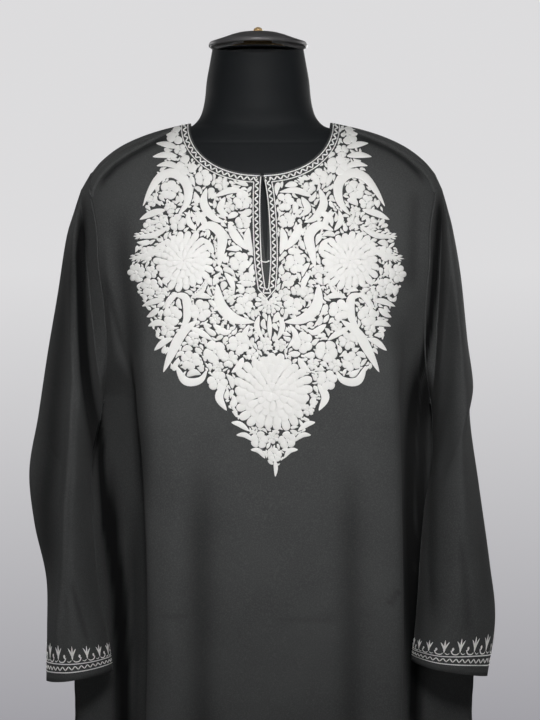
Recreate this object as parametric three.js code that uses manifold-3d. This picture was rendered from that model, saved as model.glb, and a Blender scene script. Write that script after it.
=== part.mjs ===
// A Kashmiri pheran, a loose embroidered tunic, worn on a limbless dress form on a pole stand.
// Millimetres, +Z up, front towards -Y, origin on the floor under the pole.
import * as THREE from "three";
import { mergeVertices } from "three/addons/utils/BufferGeometryUtils.js";
import Module from "manifold-3d";

const wasm = await Module();
wasm.setup();

// Driving sizes
const CLOTH = 2; // thickness of the cloth wall
const SEAM_GAP = 0.3; // air between two pieces that are sewn together
const HEM_Z = 322; // height of the hem above the floor
const SEAM_DROP = 9; // how far the shoulder seam lies below the shoulder ridge, on the front
const FRONT_ROUND = 90; // height over which the front rounds off into the shoulder
const BACK_ROUND = 84;
const TOP_SECTION_Z = 1330; // above this height every section has the same width
const UNDERARM_DROP = 257; // from the end of the shoulder to the underarm point
const BODY_DROP = 1309 - HEM_Z; // from the end of the shoulder to the hem

const NECK = { halfWidth: 80, z: 1363, frontDepth: 65, backDepth: 19, roundness: 2.2, lean: 3 };
const SLIT = { topZ: 1306, bottomZ: 1197, topX: 3.4, bottomX: 9.6, halfWidth: 3.8, topOpen: 0.3 };
const HOOK = { z: 1291, length: 9, radius: 1 };

// Shoulder ridge: height over the distance from the middle
const RIDGE = [
  { x: 0, z: 1373 },
  { x: 50, z: 1369 },
  { x: 80, z: 1364 },
  { x: 112, z: 1357 },
  { x: 140, z: 1348 },
  { x: 165, z: 1335 },
  { x: 186, z: 1321 },
  { x: 198, z: 1309 },
];

// Half sections of the front, as distances from the middle (x) and forward (f).
// edge is the outer fold of the flat front, valley the fold behind it, seam the armhole and side seam.
const FRONT = [
  { z: 1330, centreF: 96, frontX: 67, frontF: 95, edgeX: 99, edgeF: 92, valleyX: 142, valleyF: 84, seamX: 198, seamF: 60 },
  { z: 1287, centreF: 103, frontX: 67, frontF: 102, edgeX: 99, edgeF: 98, valleyX: 142, valleyF: 88, seamX: 196, seamF: 60 },
  { z: 1240, centreF: 111, frontX: 67, frontF: 110, edgeX: 99, edgeF: 106, valleyX: 142, valleyF: 93, seamX: 187, seamF: 64 },
  { z: 1200, centreF: 118, frontX: 69, frontF: 118, edgeX: 104, edgeF: 114, valleyX: 148, valleyF: 96, seamX: 185, seamF: 65 },
  { z: 1150, centreF: 124, frontX: 76, frontF: 124, edgeX: 118, edgeF: 118, valleyX: 156, valleyF: 88, seamX: 180, seamF: 60 },
  { z: 1095, centreF: 126, frontX: 88, frontF: 125, edgeX: 137, edgeF: 110, valleyX: 155, valleyF: 68, seamX: 180, seamF: 40 },
  { z: 1052, centreF: 126, frontX: 94, frontF: 124, edgeX: 140, edgeF: 106, valleyX: 150, valleyF: 56, seamX: 187, seamF: -2 },
  { z: 1026, centreF: 126, frontX: 96, frontF: 123, edgeX: 141, edgeF: 105, valleyX: 147, valleyF: 53, seamX: 190, seamF: -30 },
  { z: 1000, centreF: 125, frontX: 98, frontF: 121, edgeX: 141, edgeF: 104, valleyX: 144, valleyF: 50, seamX: 192, seamF: -50 },
  { z: 980, centreF: 124, frontX: 100, frontF: 120, edgeX: 141, edgeF: 103, valleyX: 142, valleyF: 48, seamX: 194, seamF: -56 },
  { z: 900, centreF: 122, frontX: 104, frontF: 117, edgeX: 141, edgeF: 101, valleyX: 136, valleyF: 40, seamX: 200, seamF: -62 },
  { z: 800, centreF: 120, frontX: 108, frontF: 115, edgeX: 141, edgeF: 99, valleyX: 132, valleyF: 32, seamX: 220, seamF: -64 },
  { z: 735, centreF: 120, frontX: 109, frontF: 115, edgeX: 141, edgeF: 98, valleyX: 131, valleyF: 29, seamX: 234, seamF: -64 },
  { z: 675, centreF: 119, frontX: 110, frontF: 114, edgeX: 141, edgeF: 98, valleyX: 131, valleyF: 26, seamX: 233, seamF: -62 },
  { z: 500, centreF: 119, frontX: 112, frontF: 114, edgeX: 146, edgeF: 97, valleyX: 133, valleyF: 22, seamX: 239, seamF: -50 },
  { z: 322, centreF: 120, frontX: 114, frontF: 115, edgeX: 149, edgeF: 97, valleyX: 135, valleyF: 20, seamX: 247, seamF: -45 },
];

// Half sections of the back, as distances from the middle (x) and backward (b)
const BACK = [
  { z: 1330, centreB: 84, midX: 99, midB: 82, wingX: 150, wingB: 73, seamB: 58 },
  { z: 1240, centreB: 100, midX: 99, midB: 98, wingX: 150, wingB: 86, seamB: 62 },
  { z: 1200, centreB: 104, midX: 99, midB: 102, wingX: 150, wingB: 88, seamB: 64 },
  { z: 1150, centreB: 106, midX: 100, midB: 104, wingX: 150, wingB: 88, seamB: 60 },
  { z: 1095, centreB: 107, midX: 102, midB: 104, wingX: 152, wingB: 82, seamB: 42 },
  { z: 1052, centreB: 108, midX: 104, midB: 105, wingX: 158, wingB: 76, seamB: 2 },
  { z: 1010, centreB: 109, midX: 105, midB: 106, wingX: 161, wingB: 86, seamB: 46 },
  { z: 950, centreB: 110, midX: 108, midB: 108, wingX: 166, wingB: 98, seamB: 58 },
  { z: 800, centreB: 114, midX: 112, midB: 112, wingX: 178, wingB: 102, seamB: 64 },
  { z: 675, centreB: 118, midX: 118, midB: 116, wingX: 194, wingB: 105, seamB: 62 },
  { z: 500, centreB: 121, midX: 124, midB: 119, wingX: 204, wingB: 102, seamB: 50 },
  { z: 322, centreB: 123, midX: 128, midB: 121, wingX: 210, wingB: 100, seamB: 45 },
];

// The tunic hangs a little askew: its middle drifts to +X on the way down
const LEAN = [
  { z: 1373, x: 5 },
  { z: 1298, x: 6 },
  { z: 1170, x: 8 },
  { z: 1052, x: 11 },
  { z: 967, x: 16 },
  { z: 800, x: 20 },
  { z: 675, x: 18 },
  { z: 322, x: 22 },
];

// Below the left underarm the cloth spreads further out, behind the sleeve
const LEFT_SPREAD = [
  { z: 1052, x: 0 },
  { z: 1026, x: 5 },
  { z: 1000, x: 17 },
  { z: 975, x: 22 },
  { z: 900, x: 17 },
  { z: 800, x: 5 },
  { z: 735, x: 0 },
];
const SPREAD_FROM = 0.72; // place across a panel where the spread begins

// Soft hanging folds: place across the panel, how far out (+) or in (-), half width, and where they start and are full
const FRONT_FOLDS = [
  { u: -0.36, out: 4, width: 0.06, startZ: 1120, fullZ: 900 },
  { u: -0.24, out: -7, width: 0.07, startZ: 1100, fullZ: 820 },
  { u: -0.06, out: 3, width: 0.08, startZ: 1000, fullZ: 700 },
  { u: 0.12, out: -3, width: 0.07, startZ: 940, fullZ: 560 },
  { u: 0.3, out: -6, width: 0.07, startZ: 960, fullZ: 700 },
  { u: 0.86, out: 9, width: 0.08, startZ: 900, fullZ: 640 },
  { u: -0.86, out: 9, width: 0.08, startZ: 900, fullZ: 640 },
];
const FOLD_FREE = 0.1; // share of a panel next to its seams where the folds die out
const BACK_FOLDS = [
  { u: -0.72, out: 9, width: 0.1, startZ: 1150, fullZ: 700 },
  { u: -0.45, out: -11, width: 0.1, startZ: 1120, fullZ: 640 },
  { u: -0.16, out: 9, width: 0.1, startZ: 1050, fullZ: 560 },
  { u: 0.14, out: -10, width: 0.1, startZ: 1140, fullZ: 660 },
  { u: 0.42, out: 10, width: 0.1, startZ: 1080, fullZ: 600 },
  { u: 0.7, out: -8, width: 0.09, startZ: 1120, fullZ: 700 },
];

// Sleeves, from the armhole (at 0) to the cuff (at 1): outer and inner line, half depth, how far the middle
// hangs forward, where the front ridge lies between inner (-1) and outer (1) line, and how round the section is
const LEFT_SLEEVE = [
  { at: 0.05, outerX: 206, outerZ: 1297, innerX: 181, innerZ: 1043, depth: 42, forward: 2, ridge: 0, round: 2 },
  { at: 0.12, outerX: 213, outerZ: 1272, innerX: 184, innerZ: 1028, depth: 66, forward: 5, ridge: -0.2, round: 1.9 },
  { at: 0.22, outerX: 220, outerZ: 1238, innerX: 187, innerZ: 1004, depth: 70, forward: 10, ridge: -0.3, round: 1.7 },
  { at: 0.36, outerX: 229, outerZ: 1170, innerX: 190, innerZ: 976, depth: 71, forward: 15, ridge: -0.35, round: 1.6 },
  { at: 0.48, outerX: 240, outerZ: 1104, innerX: 190, innerZ: 950, depth: 69, forward: 19, ridge: -0.38, round: 1.55 },
  { at: 0.6, outerX: 251, outerZ: 1030, innerX: 189, innerZ: 922, depth: 65, forward: 22, ridge: -0.4, round: 1.5 },
  { at: 0.7, outerX: 261, outerZ: 967, innerX: 186, innerZ: 888, depth: 60, forward: 25, ridge: -0.4, round: 1.5 },
  { at: 0.78, outerX: 255, outerZ: 908, innerX: 183, innerZ: 856, depth: 58, forward: 26, ridge: -0.35, round: 1.5 },
  { at: 0.87, outerX: 241, outerZ: 845, innerX: 179, innerZ: 819, depth: 55, forward: 27, ridge: -0.3, round: 1.6 },
  { at: 0.94, outerX: 240, outerZ: 786, innerX: 171, innerZ: 780, depth: 51, forward: 28, ridge: -0.3, round: 1.7 },
  { at: 1, outerX: 241, outerZ: 729, innerX: 165, innerZ: 740, depth: 47, forward: 28, ridge: -0.3, round: 1.7 },
];
const RIGHT_SLEEVE = [
  { at: 0.05, outerX: 207, outerZ: 1297, innerX: 206, innerZ: 1042, depth: 42, forward: 2, ridge: 0, round: 2 },
  { at: 0.12, outerX: 214, outerZ: 1276, innerX: 207, innerZ: 1026, depth: 66, forward: 5, ridge: 0.2, round: 1.9 },
  { at: 0.22, outerX: 220, outerZ: 1244, innerX: 204, innerZ: 1000, depth: 69, forward: 10, ridge: 0.4, round: 1.8 },
  { at: 0.36, outerX: 228, outerZ: 1188, innerX: 199, innerZ: 974, depth: 69, forward: 15, ridge: 0.5, round: 1.7 },
  { at: 0.48, outerX: 236, outerZ: 1116, innerX: 194, innerZ: 946, depth: 67, forward: 19, ridge: 0.5, round: 1.7 },
  { at: 0.56, outerX: 245, outerZ: 1066, innerX: 190, innerZ: 925, depth: 66, forward: 21, ridge: 0.5, round: 1.6 },
  { at: 0.62, outerX: 241, outerZ: 1034, innerX: 188, innerZ: 905, depth: 64, forward: 22, ridge: 0.45, round: 1.6 },
  { at: 0.75, outerX: 252, outerZ: 950, innerX: 184, innerZ: 862, depth: 60, forward: 27, ridge: 0.3, round: 1.6 },
  { at: 0.86, outerX: 264, outerZ: 862, innerX: 181, innerZ: 818, depth: 55, forward: 32, ridge: 0.1, round: 1.7 },
  { at: 0.94, outerX: 270, outerZ: 800, innerX: 178, innerZ: 786, depth: 50, forward: 36, ridge: -0.2, round: 1.7 },
  { at: 1, outerX: 261, outerZ: 735, innerX: 174, innerZ: 752, depth: 45, forward: 38, ridge: -0.4, round: 1.7 },
];

// Dress form: half width, depth forward and depth backward of each level
const FORM = [
  { z: 930, half: 118, front: 86, back: 74 },
  { z: 938, half: 121, front: 89, back: 77 },
  { z: 970, half: 118, front: 88, back: 77 },
  { z: 1010, half: 120, front: 92, back: 80 },
  { z: 1060, half: 130, front: 102, back: 87 },
  { z: 1110, half: 140, front: 113, back: 92 },
  { z: 1155, half: 148, front: 117, back: 96 },
  { z: 1200, half: 154, front: 111, back: 97 },
  { z: 1240, half: 162, front: 103, back: 94 },
  { z: 1270, half: 176, front: 94, back: 88 },
  { z: 1288, half: 186, front: 87, back: 80 },
  { z: 1301, half: 187, front: 82, back: 74 },
  { z: 1310, half: 182, front: 78, back: 69 },
  { z: 1319, half: 173, front: 73, back: 64 },
  { z: 1331, half: 153, front: 66, back: 58 },
  { z: 1344, half: 126, front: 59, back: 52 },
  { z: 1353, half: 99, front: 54, back: 48 },
  { z: 1359, half: 79, front: 52, back: 47 },
  { z: 1366, half: 70, front: 52, back: 48 },
  { z: 1376, half: 64.5, front: 53, back: 50 },
  { z: 1392, half: 61, front: 53, back: 51 },
  { z: 1412, half: 59, front: 53, back: 52 },
  { z: 1432, half: 55.5, front: 51, back: 50 },
  { z: 1449, half: 52.5, front: 49, back: 48 },
];
const NECK_TOP = { dip: 10, seatZ: 1445, seatRadius: 20 };
const CAP = { rimZ: 1454, wall: 2 };
const CAP_PROFILE = [
  { r: 56.5, rise: 0 },
  { r: 54.5, rise: 2.6 },
  { r: 46, rise: 5.2 },
  { r: 33, rise: 10.4 },
  { r: 25, rise: 13 },
  { r: 19, rise: 14 },
];
const CAP_POST = { radius: 8, discRadius: 17, discHeight: 3, taper: 2 };
const KNOB = { radius: 5.2, height: 6.5, sideHeight: 2.6, crownRadius: 3.9, crownHeight: 5.2 };
const BASE = { radius: 175, height: 12, chamfer: 3 };
const POLE_RADIUS = 15;
const COLLAR = { radius: 24, height: 34, footRadius: 32, footHeight: 4, taper: 4 };
const FLANGE = { radius: 42, lowRadius: 36, height: 8, sideHeight: 4 };
const FIT = 0.3; // air where one hard piece rests on another
const CUT_REACH = 300; // how far the neckline's cutting prisms reach forward and back
const UNDER_RIDGE_Z = 1250; // a height inside the body, below the whole shoulder

// Sampling: columns across a panel, drops below the shoulder ridge for its rows, and rings along a sleeve
const ARMHOLE_DROPS = [9, 22, 40, 62, 90, 120, 155, 190, 222, 246, UNDERARM_DROP];
const SKIRT_DROPS = [282, 312, 350, 395, 445, 500, 560, 625, 690, 760, 830, 910, BODY_DROP];
const FRONT_DROPS = [...ARMHOLE_DROPS, ...SKIRT_DROPS];
const BACK_DROPS = [-SEAM_DROP, -4, 0, 4, ...FRONT_DROPS];
const PANEL_COLUMNS = 32;
const SLEEVE_RINGS = [0.05, 0.12, 0.18, 0.25, 0.33, 0.41, 0.49, 0.56, 0.63, 0.7, 0.77, 0.84, 0.92, 1];
const FORM_SIDES = 32;

// Value of a named column at a place, on a smooth curve through the table's rows
function along(table, key, column, place) {
  const rising = table[0][key] < table[table.length - 1][key];
  const rows = rising ? table : [...table].reverse();
  const last = rows.length - 1;
  if (place <= rows[0][key]) return rows[0][column];
  if (place >= rows[last][key]) return rows[last][column];
  let i = 0;
  while (rows[i + 1][key] < place) i++;
  const slope = (a, b) => (rows[b][column] - rows[a][column]) / (rows[b][key] - rows[a][key]);
  const tangent = (k) => slope(Math.max(k - 1, 0), Math.min(k + 1, last));
  const span = rows[i + 1][key] - rows[i][key];
  const t = (place - rows[i][key]) / span;
  const [t2, t3] = [t * t, t * t * t];
  return (
    (2 * t3 - 3 * t2 + 1) * rows[i][column] +
    (t3 - 2 * t2 + t) * span * tangent(i) +
    (3 * t2 - 2 * t3) * rows[i + 1][column] +
    (t3 - t2) * span * tangent(i + 1)
  );
}

// Quarter round: 0 at the shoulder ridge, 1 once the drop is as large as the round
function quarterRound(drop, round) {
  const left = 1 - Math.min(drop / round, 1);
  return Math.sqrt(1 - left * left);
}

// Sum of the soft folds at a place of a panel
function foldsAt(folds, u, z) {
  let out = 0;
  for (const fold of folds) {
    const grown = THREE.MathUtils.smoothstep(fold.startZ - z, 0, fold.startZ - fold.fullZ);
    out += fold.out * grown * Math.exp(-(((u - fold.u) / fold.width) ** 2));
  }
  return out * THREE.MathUtils.smoothstep(1 - Math.abs(u), 0, FOLD_FREE);
}

// Shift of the whole section at a place: the lean, and on the left the spread below the underarm
function sideways(u, z) {
  const spread = THREE.MathUtils.smoothstep(-u, SPREAD_FROM, 1) * along(LEFT_SPREAD, "z", "x", z);
  return along(LEAN, "z", "x", z) - spread;
}

// Front section at height z: u runs from -1 at the left seam to 1 at the right seam
function frontSection(u, z) {
  const at = (column) => along(FRONT, "z", column, Math.min(z, TOP_SECTION_Z));
  const half = [
    { u: 0, x: 0, f: at("centreF") },
    { u: 0.34, x: at("frontX"), f: at("frontF") },
    { u: 0.5, x: at("edgeX"), f: at("edgeF") },
    { u: 0.72, x: at("valleyX"), f: at("valleyF") },
    { u: 1, x: at("seamX"), f: at("seamF") },
  ];
  const mirrored = half.slice(1).map((p) => ({ u: -p.u, x: -p.x, f: p.f }));
  const whole = [...mirrored.reverse(), ...half];
  return {
    x: along(whole, "u", "x", u) + sideways(u, z),
    y: -along(whole, "u", "f", u) - foldsAt(FRONT_FOLDS, u, z),
  };
}

function backSection(u, z) {
  const at = (column) => along(BACK, "z", column, Math.min(z, TOP_SECTION_Z));
  const half = [
    { u: 0, x: 0, b: at("centreB") },
    { u: 0.5, x: at("midX"), b: at("midB") },
    { u: 0.78, x: at("wingX"), b: at("wingB") },
    { u: 1, x: along(FRONT, "z", "seamX", Math.min(z, TOP_SECTION_Z)), b: seamBack(z) },
  ];
  const mirrored = half.slice(1).map((p) => ({ u: -p.u, x: -p.x, b: p.b }));
  const whole = [...mirrored.reverse(), ...half];
  return {
    x: along(whole, "u", "x", u) + sideways(u, z),
    y: along(whole, "u", "b", u) + foldsAt(BACK_FOLDS, u, z),
  };
}

// Below the underarm the side seam is one line, so the back follows the front there
function seamBack(z) {
  if (z <= underarmZ()) return -along(FRONT, "z", "seamF", z);
  return along(BACK, "z", "seamB", Math.min(z, TOP_SECTION_Z));
}

function underarmZ() {
  return RIDGE[RIDGE.length - 1].z - UNDERARM_DROP;
}

// Height of the shoulder ridge over a column
function ridgeZ(u) {
  const x = frontSection(u, TOP_SECTION_Z).x - along(LEAN, "z", "x", TOP_SECTION_Z);
  return along(RIDGE, "x", "z", Math.abs(x));
}

// Outer point of the body: drops are measured at the side and stretched a little towards the middle.
// A negative drop lies in front of the ridge, on the strip of the back that comes over the shoulder.
function bodyPoint(u, drop, isFront) {
  const top = ridgeZ(u);
  const fall = (Math.abs(drop) * (top - HEM_Z)) / BODY_DROP;
  const z = top - fall;
  const onFront = isFront || drop < 0;
  const section = onFront ? frontSection(u, z) : backSection(u, z);
  const round = quarterRound(fall, onFront ? FRONT_ROUND : BACK_ROUND);
  return new THREE.Vector3(section.x, section.y * round, z);
}

// Grid of points: one row for each drop, one column for each place across
function panelGrid(drops, columns, isFront) {
  return drops.map((drop) =>
    Array.from({ length: columns + 1 }, (_, j) => bodyPoint((2 * j) / columns - 1, drop, isFront)),
  );
}

// Armhole ring of one side, from the shoulder seam down the front and up the back
function armholeRing(front, back, side) {
  const pick = (row) => (side < 0 ? row[0] : row[row.length - 1]);
  const down = front.slice(0, ARMHOLE_DROPS.length).map(pick);
  const up = back
    .slice(1, ARMHOLE_DROPS.length + 3)
    .map(pick)
    .reverse();
  return [...down, ...up];
}

// Sleeve rings: the first is the armhole, and the others are rounded sections between the outer and inner line
function sleeveGrid(ring, table, side) {
  const topZ = RIDGE[RIDGE.length - 1].z;
  const lowZ = underarmZ();
  const rings = SLEEVE_RINGS.map((at) => {
    const value = (column) => along(table, "at", column, at);
    const outer = new THREE.Vector3(side * value("outerX"), -value("forward"), value("outerZ"));
    const inner = new THREE.Vector3(side * value("innerX"), -value("forward"), value("innerZ"));
    const middle = outer.clone().add(inner).multiplyScalar(0.5);
    const reach = outer.clone().sub(inner).multiplyScalar(0.5);
    return ring.map((p) => {
      const place = THREE.MathUtils.clamp((2 * (p.z - lowZ)) / (topZ - lowZ) - 1, -1, 1);
      const ridge = value("ridge");
      const away = place > ridge ? (place - ridge) / (1 - ridge) : (ridge - place) / (1 + ridge);
      const round = value("round");
      const deep = value("depth") * Math.pow(Math.max(1 - Math.pow(away, round), 0), 1 / round);
      const sign = Math.sign(p.y);
      return middle
        .clone()
        .addScaledVector(reach, place)
        .add(new THREE.Vector3(0, sign * deep, 0));
    });
  });
  return [ring.map((p) => p.clone()), ...rings];
}

// Outward normals of a grid of points; ring grids close on themselves
function gridNormals(grid, closed, hub) {
  const rows = grid.length;
  const columns = grid[0].length;
  const column = (j) => (closed ? (j + columns) % columns : THREE.MathUtils.clamp(j, 0, columns - 1));
  const row = (i) => THREE.MathUtils.clamp(i, 0, rows - 1);
  const normals = grid.map((line, i) =>
    line.map((_, j) => {
      const across = grid[i][column(j + 1)].clone().sub(grid[i][column(j - 1)]);
      const down = grid[row(i + 1)][j].clone().sub(grid[row(i - 1)][j]);
      return across.cross(down).normalize();
    }),
  );
  let outward = 0;
  grid.forEach((line, i) =>
    line.forEach((p, j) => {
      outward += normals[i][j].dot(p.clone().sub(hub(i)));
    }),
  );
  const flip = outward < 0;
  if (flip) normals.forEach((line) => line.forEach((n) => n.negate()));
  return { normals, flip };
}

// Edges of a grid that are sewn to another piece, as lists of places with the neighbour further in
function sewnEdges(piece) {
  const { grid, closed, sewn } = piece;
  const last = grid[0].length - 1;
  const edges = [];
  if (sewn.top) edges.push(grid[0].map((_, j) => ({ i: 0, j, inward: [1, j] })));
  if (sewn.sides && !closed) {
    edges.push(grid.map((_, i) => ({ i, j: 0, inward: [i, 1] })));
    edges.push(grid.map((_, i) => ({ i, j: last, inward: [i, last - 1] })));
  }
  return edges;
}

const keyOf = (p) => [p.x, p.y, p.z].map((v) => Math.round(v * 100)).join(",");

// Gives sewn pieces one shared normal at each seam point, and backs each edge off to leave the seam gap
function prepareSeams(pieces) {
  const shared = new Map();
  for (const piece of pieces) {
    Object.assign(piece, gridNormals(piece.grid, piece.closed, piece.hub));
    const seen = new Set();
    for (const edge of sewnEdges(piece))
      for (const { i, j } of edge) {
        const key = keyOf(piece.grid[i][j]);
        if (seen.has(key)) continue;
        seen.add(key);
        if (!shared.has(key)) shared.set(key, new THREE.Vector3());
        shared.get(key).add(piece.normals[i][j]);
      }
  }
  for (const piece of pieces) {
    const moved = piece.grid.map((line) => line.map((p) => p.clone()));
    for (const edge of sewnEdges(piece))
      edge.forEach(({ i, j, inward }, n) => {
        const p = piece.grid[i][j];
        const normal = shared.get(keyOf(p)).clone().normalize();
        piece.normals[i][j] = normal;
        const wrap = piece.closed ? (m) => (m + edge.length) % edge.length : (m) =>
          THREE.MathUtils.clamp(m, 0, edge.length - 1);
        const before = edge[wrap(n - 1)];
        const after = edge[wrap(n + 1)];
        const tangent = piece.grid[after.i][after.j].clone().sub(piece.grid[before.i][before.j]).normalize();
        const aside = normal.clone().cross(tangent).normalize();
        const towards = piece.grid[inward[0]][inward[1]].clone().sub(p);
        if (aside.dot(towards) < 0) aside.negate();
        moved[i][j].addScaledVector(aside, piece.backOff);
      });
    piece.grid = moved;
  }
}

// Closed wall: the grid as its outer face, and the same grid moved in by the cloth's thickness as its inner face
function clothWall({ grid, normals, closed, flip }) {
  const rows = grid.length;
  const columns = grid[0].length;
  const positions = [];
  for (const depth of [0, CLOTH])
    grid.forEach((line, i) =>
      line.forEach((p, j) => {
        const q = p.clone().addScaledVector(normals[i][j], -depth);
        positions.push(q.x, q.y, q.z);
      }),
    );
  const outer = (i, j) => i * columns + (closed ? j % columns : j);
  const inner = (i, j) => rows * columns + outer(i, j);
  const faces = [];
  const quad = (a, b, c, d) => {
    const corners = flip ? [d, c, b, a] : [a, b, c, d];
    const point = (n) => new THREE.Vector3().fromArray(positions, 3 * n);
    const straight = point(corners[0]).distanceTo(point(corners[2]));
    const other = point(corners[1]).distanceTo(point(corners[3]));
    const [p, q, r, s] = straight <= other ? corners : [...corners.slice(1), corners[0]];
    faces.push(p, q, r, p, r, s);
  };
  const lastColumn = closed ? columns : columns - 1;
  for (let i = 0; i < rows - 1; i++)
    for (let j = 0; j < lastColumn; j++) {
      quad(outer(i, j), outer(i, j + 1), outer(i + 1, j + 1), outer(i + 1, j));
      quad(inner(i + 1, j), inner(i + 1, j + 1), inner(i, j + 1), inner(i, j));
    }
  for (let j = 0; j < lastColumn; j++) {
    quad(inner(0, j), inner(0, j + 1), outer(0, j + 1), outer(0, j));
    quad(outer(rows - 1, j), outer(rows - 1, j + 1), inner(rows - 1, j + 1), inner(rows - 1, j));
  }
  if (!closed)
    for (let i = 0; i < rows - 1; i++) {
      quad(outer(i, 0), outer(i + 1, 0), inner(i + 1, 0), inner(i, 0));
      quad(inner(i, columns - 1), inner(i + 1, columns - 1), outer(i + 1, columns - 1), outer(i, columns - 1));
    }
  const geometry = new THREE.BufferGeometry();
  geometry.setAttribute("position", new THREE.Float32BufferAttribute(positions, 3));
  geometry.setIndex(faces);
  return geometry;
}

// Solid for cutting, from a closed geometry
function toSolid(geometry) {
  const bare = geometry.clone();
  bare.deleteAttribute("normal");
  bare.deleteAttribute("uv");
  const merged = mergeVertices(bare, 1e-4);
  return new wasm.Manifold(
    new wasm.Mesh({
      numProp: 3,
      vertProperties: new Float32Array(merged.attributes.position.array),
      triVerts: new Uint32Array(merged.index.array),
    }),
  );
}

function toGeometry(solid) {
  const mesh = solid.getMesh();
  const geometry = new THREE.BufferGeometry();
  geometry.setAttribute("position", new THREE.BufferAttribute(new Float32Array(mesh.vertProperties), 3));
  geometry.setIndex(new THREE.BufferAttribute(new Uint32Array(mesh.triVerts), 1));
  return geometry;
}

// Prism along Y with an outline drawn in X and Z
function prismAlongY(outline, fromY, toY) {
  const shape = new THREE.Shape(outline.map(({ x, z }) => new THREE.Vector2(x, z)));
  const geometry = new THREE.ExtrudeGeometry(shape, { depth: toY - fromY, bevelEnabled: false });
  geometry.rotateX(Math.PI / 2);
  geometry.translate(0, toY, 0);
  return toSolid(geometry);
}

// Neckline outline: a rounded bowl below the neck points, straight up above them
function necklineOutline(depth) {
  const steps = 28;
  const bowl = Array.from({ length: steps + 1 }, (_, i) => {
    const angle = (Math.PI * i) / steps;
    const [c, s] = [Math.cos(angle), Math.sin(angle)];
    const power = 2 / NECK.roundness;
    return {
      x: NECK.lean - Math.sign(c) * NECK.halfWidth * Math.pow(Math.abs(c), power),
      z: NECK.z - depth * Math.pow(s, power),
    };
  });
  const highZ = NECK.z + 40;
  return [{ x: NECK.lean - NECK.halfWidth, z: highZ }, ...bowl, { x: NECK.lean + NECK.halfWidth, z: highZ }];
}

// Slit at the front of the neck: a narrow lens, closed near its top by the hook
function slitOutline() {
  const steps = 8;
  const side = (sign) =>
    Array.from({ length: steps + 1 }, (_, i) => {
      const t = i / steps;
      const open = SLIT.topOpen * (1 - t) + (1 - SLIT.topOpen) * Math.sin(Math.PI * t);
      return {
        x: THREE.MathUtils.lerp(SLIT.topX, SLIT.bottomX, Math.sqrt(t)) + sign * Math.max(SLIT.halfWidth * open, FIT),
        z: THREE.MathUtils.lerp(SLIT.topZ, SLIT.bottomZ, t),
      };
    });
  return [...side(-1), ...side(1).reverse()];
}

// Lofts closed rings of points into a solid with flat or pointed ends
function loftedSolid(rings, lowCentre, highCentre) {
  const sides = rings[0].length;
  const positions = rings.flat().flatMap((p) => [p.x, p.y, p.z]);
  const low = rings.length * sides;
  positions.push(lowCentre.x, lowCentre.y, lowCentre.z, highCentre.x, highCentre.y, highCentre.z);
  const faces = [];
  rings.slice(1).forEach((_, i) => {
    for (let j = 0; j < sides; j++) {
      const k = (j + 1) % sides;
      const [a, b, c, d] = [i * sides + j, i * sides + k, (i + 1) * sides + k, (i + 1) * sides + j];
      faces.push(a, b, c, a, c, d);
    }
  });
  for (let j = 0; j < sides; j++) {
    const k = (j + 1) % sides;
    faces.push(low, k, j);
    faces.push(low + 1, (rings.length - 1) * sides + j, (rings.length - 1) * sides + k);
  }
  const geometry = new THREE.BufferGeometry();
  geometry.setAttribute("position", new THREE.Float32BufferAttribute(positions, 3));
  geometry.setIndex(faces);
  return geometry;
}

function formRing({ z, half, front, back }, dip = 0) {
  return Array.from({ length: FORM_SIDES }, (_, j) => {
    const angle = (2 * Math.PI * j) / FORM_SIDES;
    const forward = Math.max(-Math.sin(angle), 0);
    const y = Math.sin(angle) * (Math.sin(angle) < 0 ? front : back);
    return new THREE.Vector3(half * Math.cos(angle), y, z - dip * Math.pow(forward, 1.5));
  });
}

function dressForm() {
  const rings = FORM.map((level, i) => formRing(level, i === FORM.length - 1 ? NECK_TOP.dip : 0));
  rings.push(
    formRing({ z: NECK_TOP.seatZ, half: NECK_TOP.seatRadius, front: NECK_TOP.seatRadius, back: NECK_TOP.seatRadius }),
  );
  const bottom = new THREE.Vector3(0, 0, FORM[0].z);
  const seat = new THREE.Vector3(0, 0, NECK_TOP.seatZ);
  return loftedSolid(rings, bottom, seat);
}

// Turned solid about Z from a profile of radius and height that starts and ends on the axis
function turned(profile, sides) {
  const geometry = new THREE.LatheGeometry(
    profile.map(({ r, z }) => new THREE.Vector2(r, z)),
    sides,
  );
  geometry.rotateX(Math.PI / 2);
  return geometry;
}

function capTopZ() {
  return CAP.rimZ + CAP_PROFILE[CAP_PROFILE.length - 1].rise;
}

function neckCap() {
  const outside = CAP_PROFILE.map(({ r, rise }) => ({ r, z: CAP.rimZ + rise }));
  const inside = CAP_PROFILE.map(({ r, rise }) => ({ r: r - CAP.wall, z: CAP.rimZ + Math.max(rise - CAP.wall, 0) }));
  const ceiling = { r: 0, z: inside[inside.length - 1].z };
  return turned([ceiling, ...inside.slice(1).reverse(), inside[0], ...outside, { r: 0, z: capTopZ() }], 40);
}

function capPost() {
  const top = capTopZ() - CAP.wall - FIT;
  const low = NECK_TOP.seatZ + FIT;
  return turned(
    [
      { r: 0, z: low },
      { r: CAP_POST.discRadius, z: low },
      { r: CAP_POST.discRadius, z: low + CAP_POST.discHeight },
      { r: CAP_POST.radius, z: low + CAP_POST.discHeight + CAP_POST.taper },
      { r: CAP_POST.radius, z: top },
      { r: 0, z: top },
    ],
    24,
  );
}

function capKnob() {
  const low = capTopZ() + FIT;
  return turned(
    [
      { r: 0, z: low },
      { r: KNOB.radius, z: low },
      { r: KNOB.radius, z: low + KNOB.sideHeight },
      { r: KNOB.crownRadius, z: low + KNOB.crownHeight },
      { r: 0, z: low + KNOB.height },
    ],
    16,
  );
}

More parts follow.
